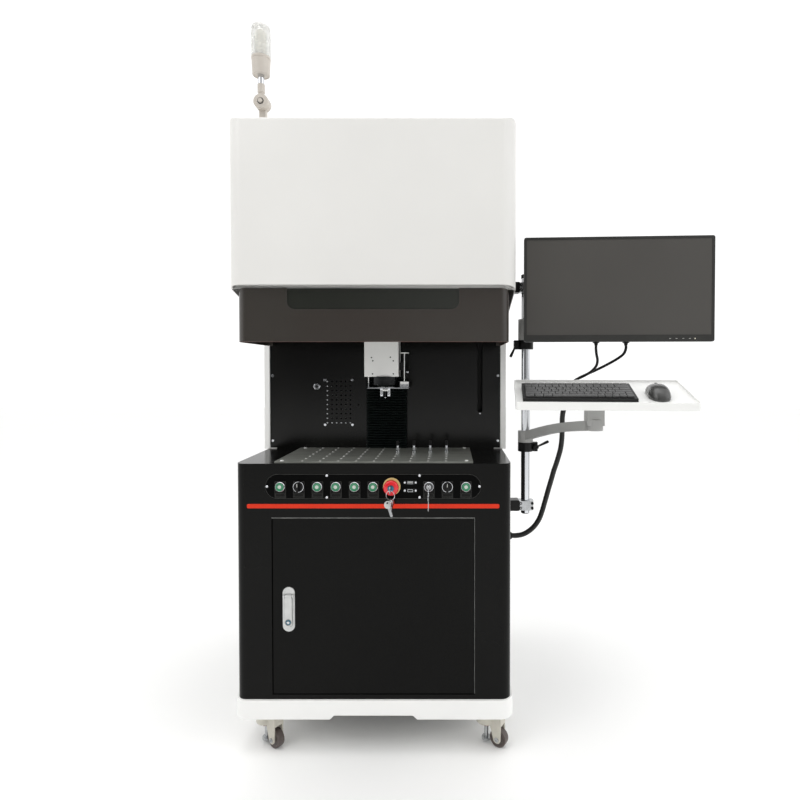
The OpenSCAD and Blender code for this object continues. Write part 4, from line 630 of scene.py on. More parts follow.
def key(b, m, bow=STEEL, length=26):
    """Flat key in the plane's u and v: a round bow above the origin, a cut blade below it."""
    outer, hole = ([(y, up - x) for x, y in circle(r, 24)] for r, up in ((10.5, 8), (2.6, 13)))
    b.prism(outer, -1.1, 1.1, bow, m=m, hole=hole)
    cuts = [(-3.6, 2), (-3.6, -length + 3), (0, -length), (2.2, -length + 2)]
    for k in range(4):
        y = -length + 5 + k * (length - 8) / 4
        cuts += [(3.6, y), (1.8 + 0.6 * (k % 2), y + 1.6), (3.6, y + 3.2)]
    cuts.append((3.6, 2))
    b.prism(cuts, -0.9, 0.9, STEEL, m=m)


def wire_ring(b, centre, normal, radius, wire_r):
    turn = Vector(UP).rotation_difference(Vector(normal)).to_matrix()
    pts = [Vector(centre) + turn @ Vector((x, y, 0)) for x, y in circle(radius, 28)]
    b.tube(pts, wire_r, CHROME, 8, closed=True)


def key_in_lock(x, y, z):
    """A key's plane stands edge on to the front: u up, v towards the operator."""
    return at(x, y, z) @ Matrix(((0, 0, 1, 0), (0, -1, 0, 0), (1, 0, 0, 0), (0, 0, 0, 1)))


def hanging(x, y, z, lean, turn):
    """A key hanging down, seen flat from the front and turned a little about its own length."""
    return at(x, y, z) @ turned(lean, "Y") @ turned(turn, "Z") @ FRONT


b = Build(PANEL_MID)
x = KEY * PITCH
b.lathe((x, -3, 0), OUT, dish(10.8, 6, 9.8, 7, 7.4, 7, 6.2), DARK_STEEL)
b.lathe((x, -3, 0), OUT, cap(6.4, 8.2, 5.6, 8.8, 6), STEEL, 32)
b.lathe((x, -3, 0), BACK, pin(8.7, -0.2, 21), PLASTIC, 32)
key(b, key_in_lock(x, -20, 0), length=12)
b.done("key_switch_barrel", "key", "bright_steel", "key_switch")

b = Build(PANEL_MID)
wire_ring(b, (x, -34, -8.6), RIGHT, 9, 0.7)
key(b, hanging(x + 0.5, -34, -31, 1, 84), length=30)
b.done("spare_key", "key", "ground_steel")

b = Build(PANEL_MID)
x = ESTOP * PITCH
b.lathe((x, -7.5, 0), OUT, [(11, 0), (17, 3.5), (20.3, 6.4), (21, 8.2), (21, 12.6), (20.2, 15.4), (18.2, 17.6),
                            (15, 18.9), (9.2, 19.4), (8.6, 18.6), (8.6, 17.4), (0, 17.4)], RED, 64)
b.lathe((x, -7.5, 0), OUT, dish(8.5, 20.4, 7.4, 21, 3.4, 3.2, 20.4, 17), BLUE)
b.lathe((x, -7.5, 0), BACK, [(11, 0), (8.7, 0.5), (8.7, 26.5), (0, 26.5)], PLASTIC, 32)
key(b, key_in_lock(x, -37, 0), length=10)
b.done("estop_mushroom", "estop", "estop_red", "estop_button")

b = Build(PANEL_MID)
wire_ring(b, (x + 1, -44, -15), (0.35, 1, 0), 12.5, 0.8)
wire_ring(b, (x + 3, -45, -32), (0.8, 0.5, 0.2), 7, 0.7)
key(b, hanging(x - 3, -45.5, -47, -18, 12), bow=LOCK_METAL, length=27)
key(b, hanging(x + 5, -43, -44, 6, 70), length=25)
b.done("estop_key_ring", "estop", "ground_steel")


# ---------- door and lock ----------
LOCK, LEVER_TOP, KEYHOLE = at(-233, 0, 410), 38, -34
# the door's rounded top edge takes the light grey: painted highlight
skin("cabinet_door", "door", [DOOR_BLACK, EDGE_HIGHLIGHT], bevel=1.6,
     bright=lambda c, n: c.z > 655 and -n.y > 0.25 and n.z > 0.25)

b = Build(LOCK)
well_h, well_z = LEVER_TOP - KEYHOLE + 20, (LEVER_TOP + KEYHOLE) / 2 - 4
b.front(rounded(33, 123, 16.4, 12), 0, 3, LOCK_METAL, 1.2, 3)
b.front(rounded(23.4, well_h + 1, 9.5, 12, 0, well_z), 2.9, 3.15, DARK_STEEL,
        hole=rounded(22.4, well_h, 9, 12, 0, well_z))
b.box((-10.5, -0.5, -47), (10.5, 14, 47), SATIN_BLACK, 1)
for s in (-1, 1):
    b.box((s * 13 - 2, -9, LEVER_TOP - 4), (s * 13 + 2, -2.5, LEVER_TOP + 4), LOCK_METAL)
for z in (51, -51):
    b.lathe((0, -2.9, z), OUT, cap(4, 0.3, 3.2, 0.5), LOCK_METAL, 20)
b.done("lock_plate", "door", "lock_metal", "lock_body")

b = Build(LOCK)
b.front(rounded(19.6, LEVER_TOP - KEYHOLE + 12, 8, 10, 0, (LEVER_TOP + KEYHOLE - 12) / 2), 3.7, 8.8, LOCK_METAL,
        1.6, 3)
b.lathe((-10, -6.5, LEVER_TOP), RIGHT, [(2.2, 0), (2.9, 0.6), (2.9, 19.4), (2.2, 20)], LOCK_METAL, 20)
b.lathe((-14.5, -6.5, LEVER_TOP), RIGHT, pin(1.5, 0, 29), STEEL, 12)
b.lathe((0, -8.7, KEYHOLE), OUT, sleeve(8.9, 7.9, 0, 0.35), DARK_STEEL, 32)
b.done("lock_pull_lever", "pull_lever", "lock_metal", "lock_lever")

b = Build(LOCK)
b.lathe((0, -8, KEYHOLE), BACK, [(0, -1.6), (5.6, -1.6), (7.3, -0.9), (7.5, 0.2), (7.5, 36), (0, 36)], TEAL)
b.lathe((0, -9.5, KEYHOLE), OUT, cap(3.6, 0.5, 3, 0.8), CHROME, 28)
b.box((-0.5, -10.5, KEYHOLE - 2.6), (0.5, -10.2, KEYHOLE + 2.6), PLASTIC, 0)
b.front(rounded(16, 42, 4, 4, 0, KEYHOLE - 21), -29, -26, STEEL, 0.6)
b.lathe((0, 25.8, KEYHOLE), BACK, cap(13, 3.4, 12, 3.8), STEEL, 32)
b.screw((0, 29.4, KEYHOLE), BACK, 4.5, 2.6)
b.done("latch_cylinder", "latch", "latch_metal", "latch_cam")

# ---------- chamber ----------
skin("chamber_wall", ROOT, [WALL_BLACK, STEEL], rule=lambda c, n, lo, hi: c.y < 289.9, bevel=0.4)
b = Build()
GRID_X0, GRID_PITCH, GRID_Z0 = -189, 15, 896
WALL_Y, STRIP_Y = 291, 288.4
# steel caps only in the left column and bottom row of holes, standing in for the glints there: painted
# highlights
for i, j in [(0, j) for j in range(10)] + [(i, 0) for i in range(1, 6)]:
    b.lathe((GRID_X0 + GRID_PITCH * i, WALL_Y, GRID_Z0 + GRID_PITCH * j), OUT,
            cap(2.4, 1.2, 1.7, 1.7), STEEL, 12)
for x, z in product((GRID_X0 - 7, GRID_X0 + 5 * GRID_PITCH + 7), (GRID_Z0 - 6, GRID_Z0 + 9 * GRID_PITCH + 5)):
    b.screw((x, STRIP_Y, z), OUT, 4.4, 1.6, CHROME, socket=False)
for x, z in product((-367, 367), (838, 1050)):
    b.screw((x, STRIP_Y, z), OUT, 4.2, 1.6, CHROME)
b.lathe((-222, 286.5, 1015), OUT, dish(10.4, 1, 9, 2, 7.2, 6.6, 1, -0.5), CHROME, 36)
b.lathe((-222, 285.4, 1015), OUT, cap(4.4, 1.2, 3.6, 1.6), PLASTIC, 24)
# a chrome stud just below the slot's lower end, placed for the glint there: painted highlight
b.lathe((308.5, WALL_Y, 926.6), OUT, [(2.6, 0), (2.6, 2.4), (1.8, 3), (0, 3.2)], CHROME, 20)
b.done("chamber_wall_studs_and_glints", ROOT, "ground_steel")

# faces below the hood take the whiter white: painted light that lifts the hood's shade off the chamber's sides
skin("upper_housing", ROOT, [WHITE, PLINTH_WHITE],
     rule=lambda c, n, lo, hi: c.z < 1150 and n.y < 0.5, bevel=1.6)
skin("rear_panel", ROOT, [WHITE, STEEL], rule=lambda c, n, lo, hi: hi.x - lo.x < 20, bevel=0.6)
skin("axis_frames", ROOT, [MACHINE_GREY, STEEL, PLASTIC],
     rule=lambda c, n, lo, hi: 2 if (c.z > 1536 and c.y < 345) or (c.x > 300 and c.y < 345.5)
     else c.y < 345.5 and c.z > 860 and 30 < abs(c.x) < 52, bevel=1)

# pleated slot cover: each fold is its own ridge
PLEATS, B_LOW, B_HIGH = 28, TABLE_Z + 0.3, 1044.7
b = Build()
pitch = (B_HIGH - B_LOW) / PLEATS
outer, inner = [], []
for i in range(PLEATS):
    z = B_LOW + i * pitch
    outer += [(y, z + f * pitch) for y, f in ((281.4, 0.15), (263.4, 0.42), (262.6, 0.5), (263.4, 0.58),
                                              (281.4, 0.85), (282.2, 1))]
    inner += [(y, z + f * pitch) for y, f in ((286.6, 0.15), (267.6, 0.47), (267, 0.5), (267.6, 0.53),
                                              (286.6, 0.85), (287.4, 1))]
outer.insert(0, (282.2, B_LOW))
inner.insert(0, (287.4, B_LOW))
part = bmesh.new()
rails = []
for x in (-59, -58.4, 70.4, 71):
    edge = 0.35 if x in (-59, 71) else 0
    rails.append([[part.verts.new((x, y + e, z)) for y, z in line]
                  for line, e in ((outer, edge), (inner, -edge))])
for (o0, i0), (o1, i1) in zip(rails, rails[1:]):
    for k in range(len(outer) - 1):
        part.faces.new((o0[k], o1[k], o1[k + 1], o0[k + 1]))
        part.faces.new((i0[k], i0[k + 1], i1[k + 1], i1[k]))
    for k in (0, -1):
        part.faces.new((o0[k], o1[k], i1[k], i0[k]))
for o, i in (rails[0], rails[-1]):
    for k in range(len(outer) - 1):
        part.faces.new((o[k], o[k + 1], i[k + 1], i[k]))
b.take(part, BELLOWS)
pleated = b.done("bellows_pleats", None, "bellows_black", "bellows", angle=25)
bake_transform(pleated)

# ---------- marking head ----------
HEAD_Z, HEAD_D, LENS_X, LENS_Y, POINTER_X = 1048, 76, 8, 33, 12
HEAD = at(0, 186, HEAD_Z)
skin("head_carriage", "z_head", [SATIN_BLACK, STEEL],
     rule=lambda c, n, lo, hi: c.y < 259 and c.z < HEAD_Z - 14, bevel=0.5)
b = Build(HEAD)
b.box((-52.5, 0, 0), (52.5, HEAD_D, 125), ALU, 1.4, 3)
b.box((-51.2, -0.25, 1.4), (51.2, 1, 123.6), ALU, 0.25, 1)
for dx, dz in ((-27, 9), (37, 9), (-26, 49), (-30, 59), (37, 49), (28, 60), (-31, 112), (31, 112)):
    b.lathe((dx, -0.2, dz), OUT, [(2.3, 0), (2.3, 0.5), (1.2, 0.5), (1.1, 0.1), (0, 0.1)], DARK_STEEL, 16)
for s, dz, y in product((-1, 1), (22, 100), (14, 62)):
    b.screw((s * 52.3, y, dz), (s, 0, 0), 3.2, 1.2, STEEL)
b.box((-30, 10, 124.6), (30, HEAD_D - 10, 126.5), SATIN_BLACK, 0.6)
b.done("scan_head_case", "z_head", "head_silver", "scan_head")

b = Build(HEAD)
b.lathe((LENS_X, LENS_Y, 12), DOWN, [(0, 0), (29.8, 0), (29.8, 12.2), (42, 12.2), (42, 24.5), (41.2, 25.6),
                                     (41.2, 37.4), (40, 39), (38.6, 41), (31, 41), (29.4, 35), (28.6, 34.4)],
        LENS_BODY, 64, (90, 0.5, 41.5))
b.lathe((LENS_X, LENS_Y, -22), DOWN, [(0, -1), (12, -0.7), (22, 0.2), (28.8, 1.6), (28.8, -3), (0, -3)],
        LENS_GLASS, 48)
for z in (26.8, 31.2, 35.4):
    b.lathe((LENS_X, LENS_Y, 12 - z), DOWN, [(41.3, 0), (41.9, 0.3), (41.9, 1.2), (41.3, 1.5), (41.3, 0)],
            LENS_BODY, 64)
b.done("scan_lens_barrel", "z_head", "lens_black", "scan_lens")

b = Build(HEAD)
POINTER_Z = -36
for s in (-1, 1):
    b.lathe((POINTER_X + 11 * s, 2, POINTER_Z + 1), DOWN, [(5.2, 0), (5.2, 5), (4.6, 6), (4.6, 18), (5, 19),
                                                           (5, 23.5), (4, 25), (2, 25), (1.8, 24.2), (0, 24.2)],
            CHROME, 28)
    b.screw((POINTER_X + 11 * s, -2.8, POINTER_Z - 10), OUT, 2, 1.4, STEEL)
b.lathe((POINTER_X, 2, POINTER_Z - 8), DOWN, [(3.2, 0), (3.2, 7), (2.2, 9), (2.2, 20), (0, 21)], PLASTIC, 20)
b.lathe((POINTER_X, 2, POINTER_Z - 27), DOWN, cap(2.4, 2.4, 1.4, 3.4), CHROME, 16)
b.box((POINTER_X - 9, -3.6, POINTER_Z - 8), (POINTER_X + 9, 5, POINTER_Z - 2.6), ALU)
# bright front edges and flange of the upright plate, its set screw, and the block's screws
SIDE_X = 52.5
b.box((SIDE_X + 16.2, 11.2, POINTER_Z + 21), (SIDE_X + 18.8, 12.4, 72), ALU, 0.3, 1)
b.box((SIDE_X + 5, 11.2, 72), (SIDE_X + 31, 12.4, 75), ALU, 0.3, 1)
b.lathe((SIDE_X + 18, 24, 15), RIGHT, [(1.4, 0), (1.4, 6), (4.6, 6.4), (4.6, 11), (3.8, 11.8), (0, 11.8)],
        CHROME, 24)
b.box((SIDE_X + 4.4, 9.2, POINTER_Z + 14), (SIDE_X + 30.6, 11, POINTER_Z + 20.6), ALU, 0.5)
for x in (SIDE_X + 10, SIDE_X + 24):
    b.screw((x, 10.2, POINTER_Z + 7), OUT, 3.4, 1.6, CHROME)
b.box((-42.2, 11, POINTER_Z + 16), (-39.8, 12.4, -0.4), ALU, 0.3, 1)
b.done("pointer_diodes", "z_head", "bright_steel")

b = Build()
z0, z1 = 852.3, 1454.5
thread = [(0, 0), (7, 0)]
z = 1
while z < z1 - z0 - 6:
    thread += [(7.1, z), (7.9, z + 0.8), (7.9, z + 3.2), (7.1, z + 4)]
    z += 5
thread += [(7.9, z1 - z0 - 1), (7, z1 - z0), (0, z1 - z0)]
b.lathe((0, 334, z0), UP, thread, STEEL, 20)
b.done("lift_screw_thread", "lift_screw", "ground_steel", "z_screw")

# ---------- shield ----------
skin("shield_cover", "shield", [SHIELD], bevel=0.8)
skin("shield_window", "shield", [GLASS], bevel=0.6)
skin("shield_fittings", "shield", [RUST, STEEL], rule=lambda c, n, lo, hi: c.z >= 1147.1,
     bevel=0.3)

# ---------- signal lamp ----------
FOOT_D = 59.2
LAMP = at(-314, 40, ROOF_Z + 65)
skin("lamp_foot", ROOT, [BEIGE], bevel=2.2, seg=3)
b = Build(LAMP)
for dx, y in product((-22, 22), (-2, 34)):
    b.screw((dx, y, -FOOT_D), UP, 3.2, 2)
b.lathe((0, 24, 0), BACK, cap(9, 1.5, 6, 2.2, -1), DARK_STEEL, 28)
b.done("lamp_foot_screws", ROOT, "ground_steel")
b = Build(LAMP)
b.lathe((0, 7.7, 0), OUT, [(0, 0), (19.9, 0), (20.5, 0.8), (20.5, 13.6), (19.1, 15.4), (9.4, 15.7), (8.8, 14.6),
                           (0, 14.6)], BEIGE, 56)
b.lathe((0, -6.8, 0), OUT, dish(8.4, 1.2, 7.6, 1.6, 5, 4.6, 0.6), DARK_STEEL, 32)
b.lathe((0, -7.4, 0), OUT, dish(4.4, 2, 3.6, 2.4, 2.2, 2, 1), STEEL, 12)
b.box((-7, -7, 10), (7, 7, 30), BEIGE, 1.6, 3)
b.lathe((0, 0, 24), UP, [(8.6, 0), (10, 1.2), (10, 22.8), (9.2, 24), (0, 24)], BEIGE, 36)
b.lathe((0, 0, 47.5), UP, [(8.4, 0), (8.4, 25)], CHROME, 36)
R, BODY, LENS, BODY_Z = 26, 50, 86, 72
b.lathe((0, 0, BODY_Z), UP, [(0, 1.6), (R - 6.4, 1.6), (R - 5.6, 0), (R - 4, 0), (R - 2.6, 1.5),
                             (R - 0.6, BODY - 9), (R - 1.2, BODY - 8.2), (R - 1.2, BODY - 7.4), (R, BODY - 6.6),
                             (R, BODY - 0.8), (R - 0.8, BODY), (0, BODY)], BEIGE, 56)
z = BODY_Z + BODY
ribs = [(0, 0), (R - 0.6, 0)]
for k in range(18):
    ribs += [(R - 0.1, 2 + 4 * k), (R - 0.9, 4 + 4 * k)]
ribs += [(R - 0.2, LENS - 9), (R - 1.2, LENS - 5), (R - 3.6, LENS - 1.6), (R - 8, LENS), (0, LENS)]
b.lathe((0, 0, z), UP, ribs, CLEAR, 56)
b.done("signal_lamp_body", "lamp", "lamp_plastic", "signal_lamp")
b = Build(LAMP)
b.lathe((0, 0, z + 1), UP, [(0, 0), (11, 0), (11, LENS - 20), (8, LENS - 16), (0, LENS - 16)], LED_WHITE, 24)
for k, a in product(range(6), range(6)):
    c, s = math.cos(math.radians(60 * a)), math.sin(math.radians(60 * a))
    b.lathe((11 * c, 11 * s, z + 8 + 10 * k), (c, s, 0), [(2.4, 0), (2.4, 1.4), (1.2, 2.6), (0, 2.8)],
            BUTTON_WHITE, 10)
b.done("lamp_led_column", "lamp", "lamp_plastic")

# ---------- casters ----------
CASTERS = ((-316, 62, -35), (316, 62, -30), (-316, 738, 20), (316, 738, 10))
skin("caster_plates", ROOT, [STEEL, PLASTIC], rule=lambda c, n, lo, hi: hi.z < 15, bevel=0.6,
     keep=lambda lo, hi: not (lo.z > 50 and hi.z < 63))
b = Build()
for x, y, _ in CASTERS:
    b.lathe((x, y, 51.6), UP, [(6.6, 0), (14.2, 0), (17.6, 1.4), (17.6, 8.4), (15.2, 9.8), (6.6, 9.8),
                               (6.6, 0)], DIAL_RED, 60, (12, 2.6, 16.5))
    b.lathe((x, y, 61.2), UP, [(6.2, 0), (10.4, 0), (10.4, 0.9), (6.2, 0.9), (6.2, 0)], STEEL, 6)
    for dx, dy in product((-26, 26), (-26, 26)):
        b.lathe((x + dx, y + dy, 100.2), DOWN, dish(5.4, 2.6, 4.6, 3.4, 2.4, 2.2, 1.6), STEEL, 6)
b.done("caster_dials", ROOT, "ground_steel")
for i, (x, y, yaw) in enumerate(CASTERS, 1):
    skin(f"caster_fork_{i}", f"caster_{i}", [CREAM], bevel=1.4, seg=3)
    local = at(x, y, 0) @ turned(yaw, "Z")
    b = Build(local)
    for s in (-1, 1):
        b.lathe((40, s * 16.2, 25), (0, s, 0), dish(6.4, 2.6, 5.4, 3.4, 2.6, 2.4, 1.4), STEEL,
                6 if s > 0 else 20)
    b.done(f"caster_axle_bolt_{i}", f"caster_{i}", "ground_steel")
    b = Build(local)
    profile = [(4.4, 0), (10, 0), (10, 1.4), (18, 2.6), (20, 0.6), (22.2, 0), (24.4, 1), (25, 3), (25, 19),
               (24.4, 21), (22.2, 22), (20, 21.4), (18, 19.4), (10, 20.6), (10, 22), (4.4, 22), (4.4, 0)]
    b.lathe((40, 11, 25), OUT, profile, WHEEL, 48)
    b.done(f"caster_wheel_{i}_rim", f"wheel_{i}", "caster_nylon", f"caster_wheel_{i}")

# ---------- laser source and computer ----------
skin("laser_source", ROOT, [MACHINE_GREY, STEEL], rule=lambda c, n, lo, hi: c.y < 205.8,
     bevel=0.9)
b = Build()
SOURCE_Y, PC_Y = 206.2, 210.4
for z, x in product((171, 281), (40, 310)):
    b.screw((x, SOURCE_Y - 0.2, z), OUT, 3.4, 2, CHROME)
for i in range(3):
    b.lathe((252, SOURCE_Y, 250 - 17 * i), OUT, [(3.6, 0), (3.6, 1), (2.6, 1.6), (0, 1.8)],
            BUTTON_WHITE if i else GREEN, 16)
b.lathe((84, SOURCE_Y, 262), OUT, [(9, 0), (9, 1.2), (8, 2), (6, 2), (6, 6), (5, 7), (0, 7)], PLASTIC, 28)
b.done("laser_source_front", ROOT, "equipment_grey")
skin("computer", ROOT, [SATIN_BLACK, PLASTIC], rule=lambda c, n, lo, hi: c.z < 174, bevel=1.2)
b = Build()
b.box((-284, 210.6, 504), (-136, 212.8, 546), PLASTIC, 0.5)
b.box((-276, 209.8, 522), (-190, 211.2, 528), SATIN_BLACK, 0.4, 1)
b.lathe((-156, PC_Y, 525), OUT, dish(7, 0.6, 6, 1.2, 5, 4.6, 0.7, -1), STEEL, 28)
b.lathe((-156, PC_Y, 486), OUT, [(2, -1), (2, 0.5), (0, 0.7)], GREEN, 12)
for k in range(2):
    b.box((-282 + 22 * k, 209.4, 482), (-268 + 22 * k, 211, 488), CHROME, 0.3, 1)
b.done("computer_front", ROOT, "black_metal")

# ---------- glands ----------
b = Build()
SIDE_GLAND, INLET = (380, 245, 540), (-290, 800, 218)
NUT = [(11, -9), (11, 0), (15, 0), (16, 0.8), (16, 5.2), (15, 6)]
b.lathe(SIDE_GLAND, RIGHT, [(8.8, -9), *NUT, (8.8, 6), (8.8, -9)], PLASTIC, 6)
b.lathe(SIDE_GLAND, RIGHT, [(8.8, 6), (12, 6), (12, 24), (11.2, 26.5), (9.6, 28), (8.8, 28), (8.8, 6)], PLASTIC,
        40, (20, 0.7, 11.8))
b.lathe(SIDE_GLAND, RIGHT, [(8.1, -6), (8.8, -6), (8.8, 28.4), (8.1, 28.4), (8.1, -6)], CABLE, 32)
b.lathe(INLET, BACK, [(6, -9), *NUT, (11, 6), (11, 12), (9.6, 14), (6, 14), (6, -9)], PLASTIC, 6)
b.lathe(INLET, BACK, [(5.2, 2), (6, 2), (6, 14.4), (5.2, 14.4), (5.2, 2)], CABLE, 24)
b.done("cable_glands", ROOT, "black_plastic", "cable_gland")

# ---------- mast ----------
MAST, MAST_R, Z0, Z1 = at(452, 250, 0), 14, 613, 1365
LOW_Z, HIGH_Z, EYE_Z, TRAY_C = 639, 1329, 1134, 810
b = Build(MAST)
b.lathe((0, 0, Z0), UP, [(0, 0.4), (12, 0.4), (13.4, 0), (14, 0.7), (14, Z1 - Z0 - 0.7), (13.4, Z1 - Z0),
                         (0, Z1 - Z0)], CHROME, 56)
b.lathe((0, 0, Z0 + 0.5), DOWN, cap(12.6, 1.4, 11.4, 2.4, -2), PLASTIC)
b.done("mast_tube", ROOT, "bright_steel", "mast")

b = Build(MAST)
for side, z in ((-72, LOW_Z), (-59.5, HIGH_Z)):
    b.box((side - 0.2, -26, z - 24), (side + 6, 26, z + 24), SATIN_BLACK, 1.6, 3)
    b.box((side + 5, -20, z - 17), (-MAST_R - 8, 20, z + 17), SATIN_BLACK, 1.4, 3)
    for dy, dz in product((-21, 21), (-18, 18)):
        b.screw((side + 5.8, dy, z + dz), RIGHT, 3.4, 1.4, DARK_STEEL)
    # split clamping block: two halves with a gap, a round bore and four socket screws
    for s in (-1, 1):
        arc = [(14.1 * math.cos(a), s * 14.1 * math.sin(a))
               for a in (math.radians(174 - 8 * k) for k in range(22))]
        half = [(-22, s * 1.6), (-22, s * 18), (-20, s * 20)]
        half += [(10, s * 22), (19, s * 19), (24.5, s * 11), (25, s * 1.6)]
        outline = half + arc[::-1]
        b.prism(outline if s < 0 else outline[::-1], z - 15, z + 15, STEEL, 0.7)
        for dz in (-7.5, 7.5):
            b.lathe((19.5, s * 17.4, z + dz), (0, s, 0), dish(4.4, 4, 3.8, 4.6, 2.2, 2, 2), PLASTIC, 20)
            b.lathe((-17, s * 19.6, z + dz), (0, s, 0), dish(4.4, 1, 3.8, 1.6, 2.2, 2, 0.4), PLASTIC, 20)
b.lathe((0, 0, Z1 - 6), UP, [(14.1, 0), (15, 0), (15, 10.2), (13.6, 12), (0, 12)], PLASTIC, 48)
for z, side in ((EYE_Z, -1), (TRAY_C, 1)):
    b.lathe((0, 0, z), UP, [(14.1, 0), (23.2, 0), (24, 0.8), (24, 28.2), (23.2, 29), (14.1, 29), (14.1, 0)],
            SATIN_BLACK, 56)
    for s in (-1, 1):
        ear = sorted((side * 22.8, side * 38))
        span = sorted((s * 1.5, s * 9))
        b.box((ear[0], span[0], z), (ear[1], span[1], z + 29), SATIN_BLACK, 1.4, 3)
b.done("mast_fittings", ROOT, "black_metal", "mast_clamps")


def lever(name, body, cad, z, side, angle):
    """Clamping lever: a hub on the screw and a handle that swells towards its end."""
    ear, pz = side * 32, z + 14.5
    b = Build(MAST)
    b.lathe((ear, -9.4, pz), OUT, [(0, 0), (8, 0), (8, 7.6), (7.2, 8.6), (3.6, 8.6), (3.2, 6.8), (0, 6.8)],
            PLASTIC, 32)
    b.lathe((ear, -9.4, pz), BACK, pin(3, -2, 19), STEEL, 20)
    b.lathe((ear, 9.4, pz), BACK, [(5.6, 0), (5.6, 4.6), (3.4, 4.6), (3.2, 6), (0, 6)], STEEL, 6)
    turn = at(ear, -14.6, pz) @ turned(-angle, "Y")
    b.lathe((0, 0, 0), RIGHT, [(0, 3), (3.4, 4), (3.1, 12), (3.6, 22), (4.5, 34), (4.5, 40), (3.6, 43),
                               (0, 44)], PLASTIC, 24, m=turn)
    b.done(name, body, "black_plastic", cad)


lever("arm_lever_handle", "arm_clamp_lever", "arm_lever", EYE_Z, -1, 245)
lever("tray_lever_handle", "tray_clamp_lever", "tray_lever", TRAY_C, 1, 25)

# ---------- monitor ----------
skin("monitor_arm", "monitor_arm_body", [ARM_GREY, STEEL],
     rule=lambda c, n, lo, hi: c.z > 1228 and c.x > 600, bevel=2, seg=3)
skin("monitor_head", "monitor_head_body", [SATIN_BLACK], bevel=1.2)
HX, HY, TILT_Z, MON_Z0, MON_W, MON_H = 702, 190, 1207.3, 1150.3, 540, 302
MON = at(HX, HY, 0) @ turned(-3.4, "Z")
MID = MON_Z0 + MON_H / 2
b = Build(MON)
edge = rounded(MON_W, MON_H, 6, 8, 0, MID)
lip = rounded(MON_W - 16, MON_H - 28, 1.6, 8, 0, MID + 6)
b.front(edge, 96, 109.9, BEZEL, 1.4, 3, hole=lip)
b.front(rounded(MON_W - 4, MON_H - 4, 5, 4, 0, MID), 95.6, 98, BEZEL)
b.front(rounded(MON_W - 15.6, MON_H - 27.6, 1, 2, 0, MID + 6), 97, 108.9, SCREEN)
b.front(rounded(MON_W - 90, MON_H - 40, 12, 8, 0, MID), 70, 97, BEZEL, 5, 4)
for i in range(18):
    b.box((-170 + 20 * i, -70.4, MID + 84), (-158 + 20 * i, -69.6, MID + 112), PLASTIC, 0.4, 1)
for x in (146, 164, 183, 201):
    b.box((x - 2.6, -110.4, MON_Z0 + 8.4), (x + 2.6, -109.6, MON_Z0 + 9.6), MARK, 0.1, 1)
b.box((214, -110.5, MON_Z0 + 7.4), (217.4, -109.6, MON_Z0 + 10.6), LED_WHITE, 0.4)
b.box((-60, -70, TILT_Z - 20), (60, -66, TILT_Z + 130), ARM_GREY, 1.2, 3)
for s in (-1, 1):
    b.box((s * 23 - 4, -67, TILT_Z - 12), (s * 23 + 4, -40, TILT_Z + 12), ARM_GREY)
    b.lathe((s * 23 - 4, -40, TILT_Z), RIGHT, [(0, 0), (11.4, 0), (12, 0.6), (12, 7.4), (11.4, 8), (0, 8)],
            ARM_GREY, 36)
    b.lathe((s * 27, -40, TILT_Z), (s, 0, 0), dish(7, 3, 6, 3.8, 3, 2.8, 1.6, -0.4), STEEL, 24)
    for dz in (20, 120):
        b.lathe((s * 50, -66.2, TILT_Z + dz), BACK, dish(4, 1.6, 3.4, 2.2, 1.8, 1.6, 1), STEEL, 20)
b.lathe((-26, -40, TILT_Z), RIGHT, [(0, 0), (4.9, 0), (4.9, 52), (0, 52)], STEEL, 24)
for x in (-58, 28):
    b.box((x - 9, -91, MON_Z0 - 2), (x + 9, -77, MON_Z0 + 20), PLASTIC, 1.2)
    b.lathe((x, -84, MON_Z0 - 1.6), DOWN, [(7.4, -2), (7.2, 1.6), (5.4, 2.4), (5.2, 4), (5.6, 4.6), (4.9, 5.2),
                                           (4.9, 7.4), (0, 7.4)], PLASTIC, 28)
b.done("monitor_housing", "monitor_body", "black_plastic", "monitor")

# ---------- keyboard tray ----------
skin("tray_arm", "tray_arm_body", [ARM_GREY, SATIN_BLACK, STEEL],
     rule=lambda c, n, lo, hi: (n.z < -0.35 and 470 < c.x < 600) or c.z < 0, bevel=1.8, seg=3)
TRAY = at(617, 40, 971.3) @ turned(-5.5, "Z") @ turned(15, "X")
FLOOR_Z = 33


def under_tray(p):
    """True on the black bracket below the tray."""
    return p.z < 16.9 or (p.z < 30.4 and abs(p.x) < 34.2 and -30.2 < p.y < 40.2)


skin("keyboard_tray", "tray", [TRAY_WHITE, SATIN_BLACK],
     rule=lambda c, n, lo, hi: under_tray(TRAY.inverted() @ c), bevel=0.7)

b = Build(TRAY)
KX, KY, KW, KD = -202, -74.5, 304, 126
CASE = at(0, KY, FLOOR_Z) @ Matrix.Rotation(math.atan2(6, KD), 4, "X")
b.prism([(KY, FLOOR_Z), (KY + KD, FLOOR_Z), (KY + KD, FLOOR_Z + 14.6), (KY + KD - 2, FLOOR_Z + 15),
         (KY + 2, FLOOR_Z + 9.1), (KY, FLOOR_Z + 8)], KX, KX + KW, KEYBED, 1.4, 3, m=SIDE)
ROWS = ((1.25, 1.25, 1.25, 6.25, 1, 1, 1, 1, 1), (2.25,) + (1,) * 10 + (1.75, 1), (1.75,) + (1,) * 11 + (2.25,),
        (1.5,) + (1,) * 12 + (1.5,), (1,) * 13 + (2,), (1,) * 15)
unit, row_d, y = 288 / 15, 108 / 6, 9
for row, widths in enumerate(ROWS):
    x = KX + 8
    for w in widths:
        low, high = (x + 0.7, y + 0.8, 8.6), (x + w * unit - 0.7, y + row_d - 0.8, 13.3 + 0.25 * abs(row - 2.5))
        b.box(low, high, KEYCAP, 1.5, 3, m=CASE)
        x += w * unit
    y += row_d
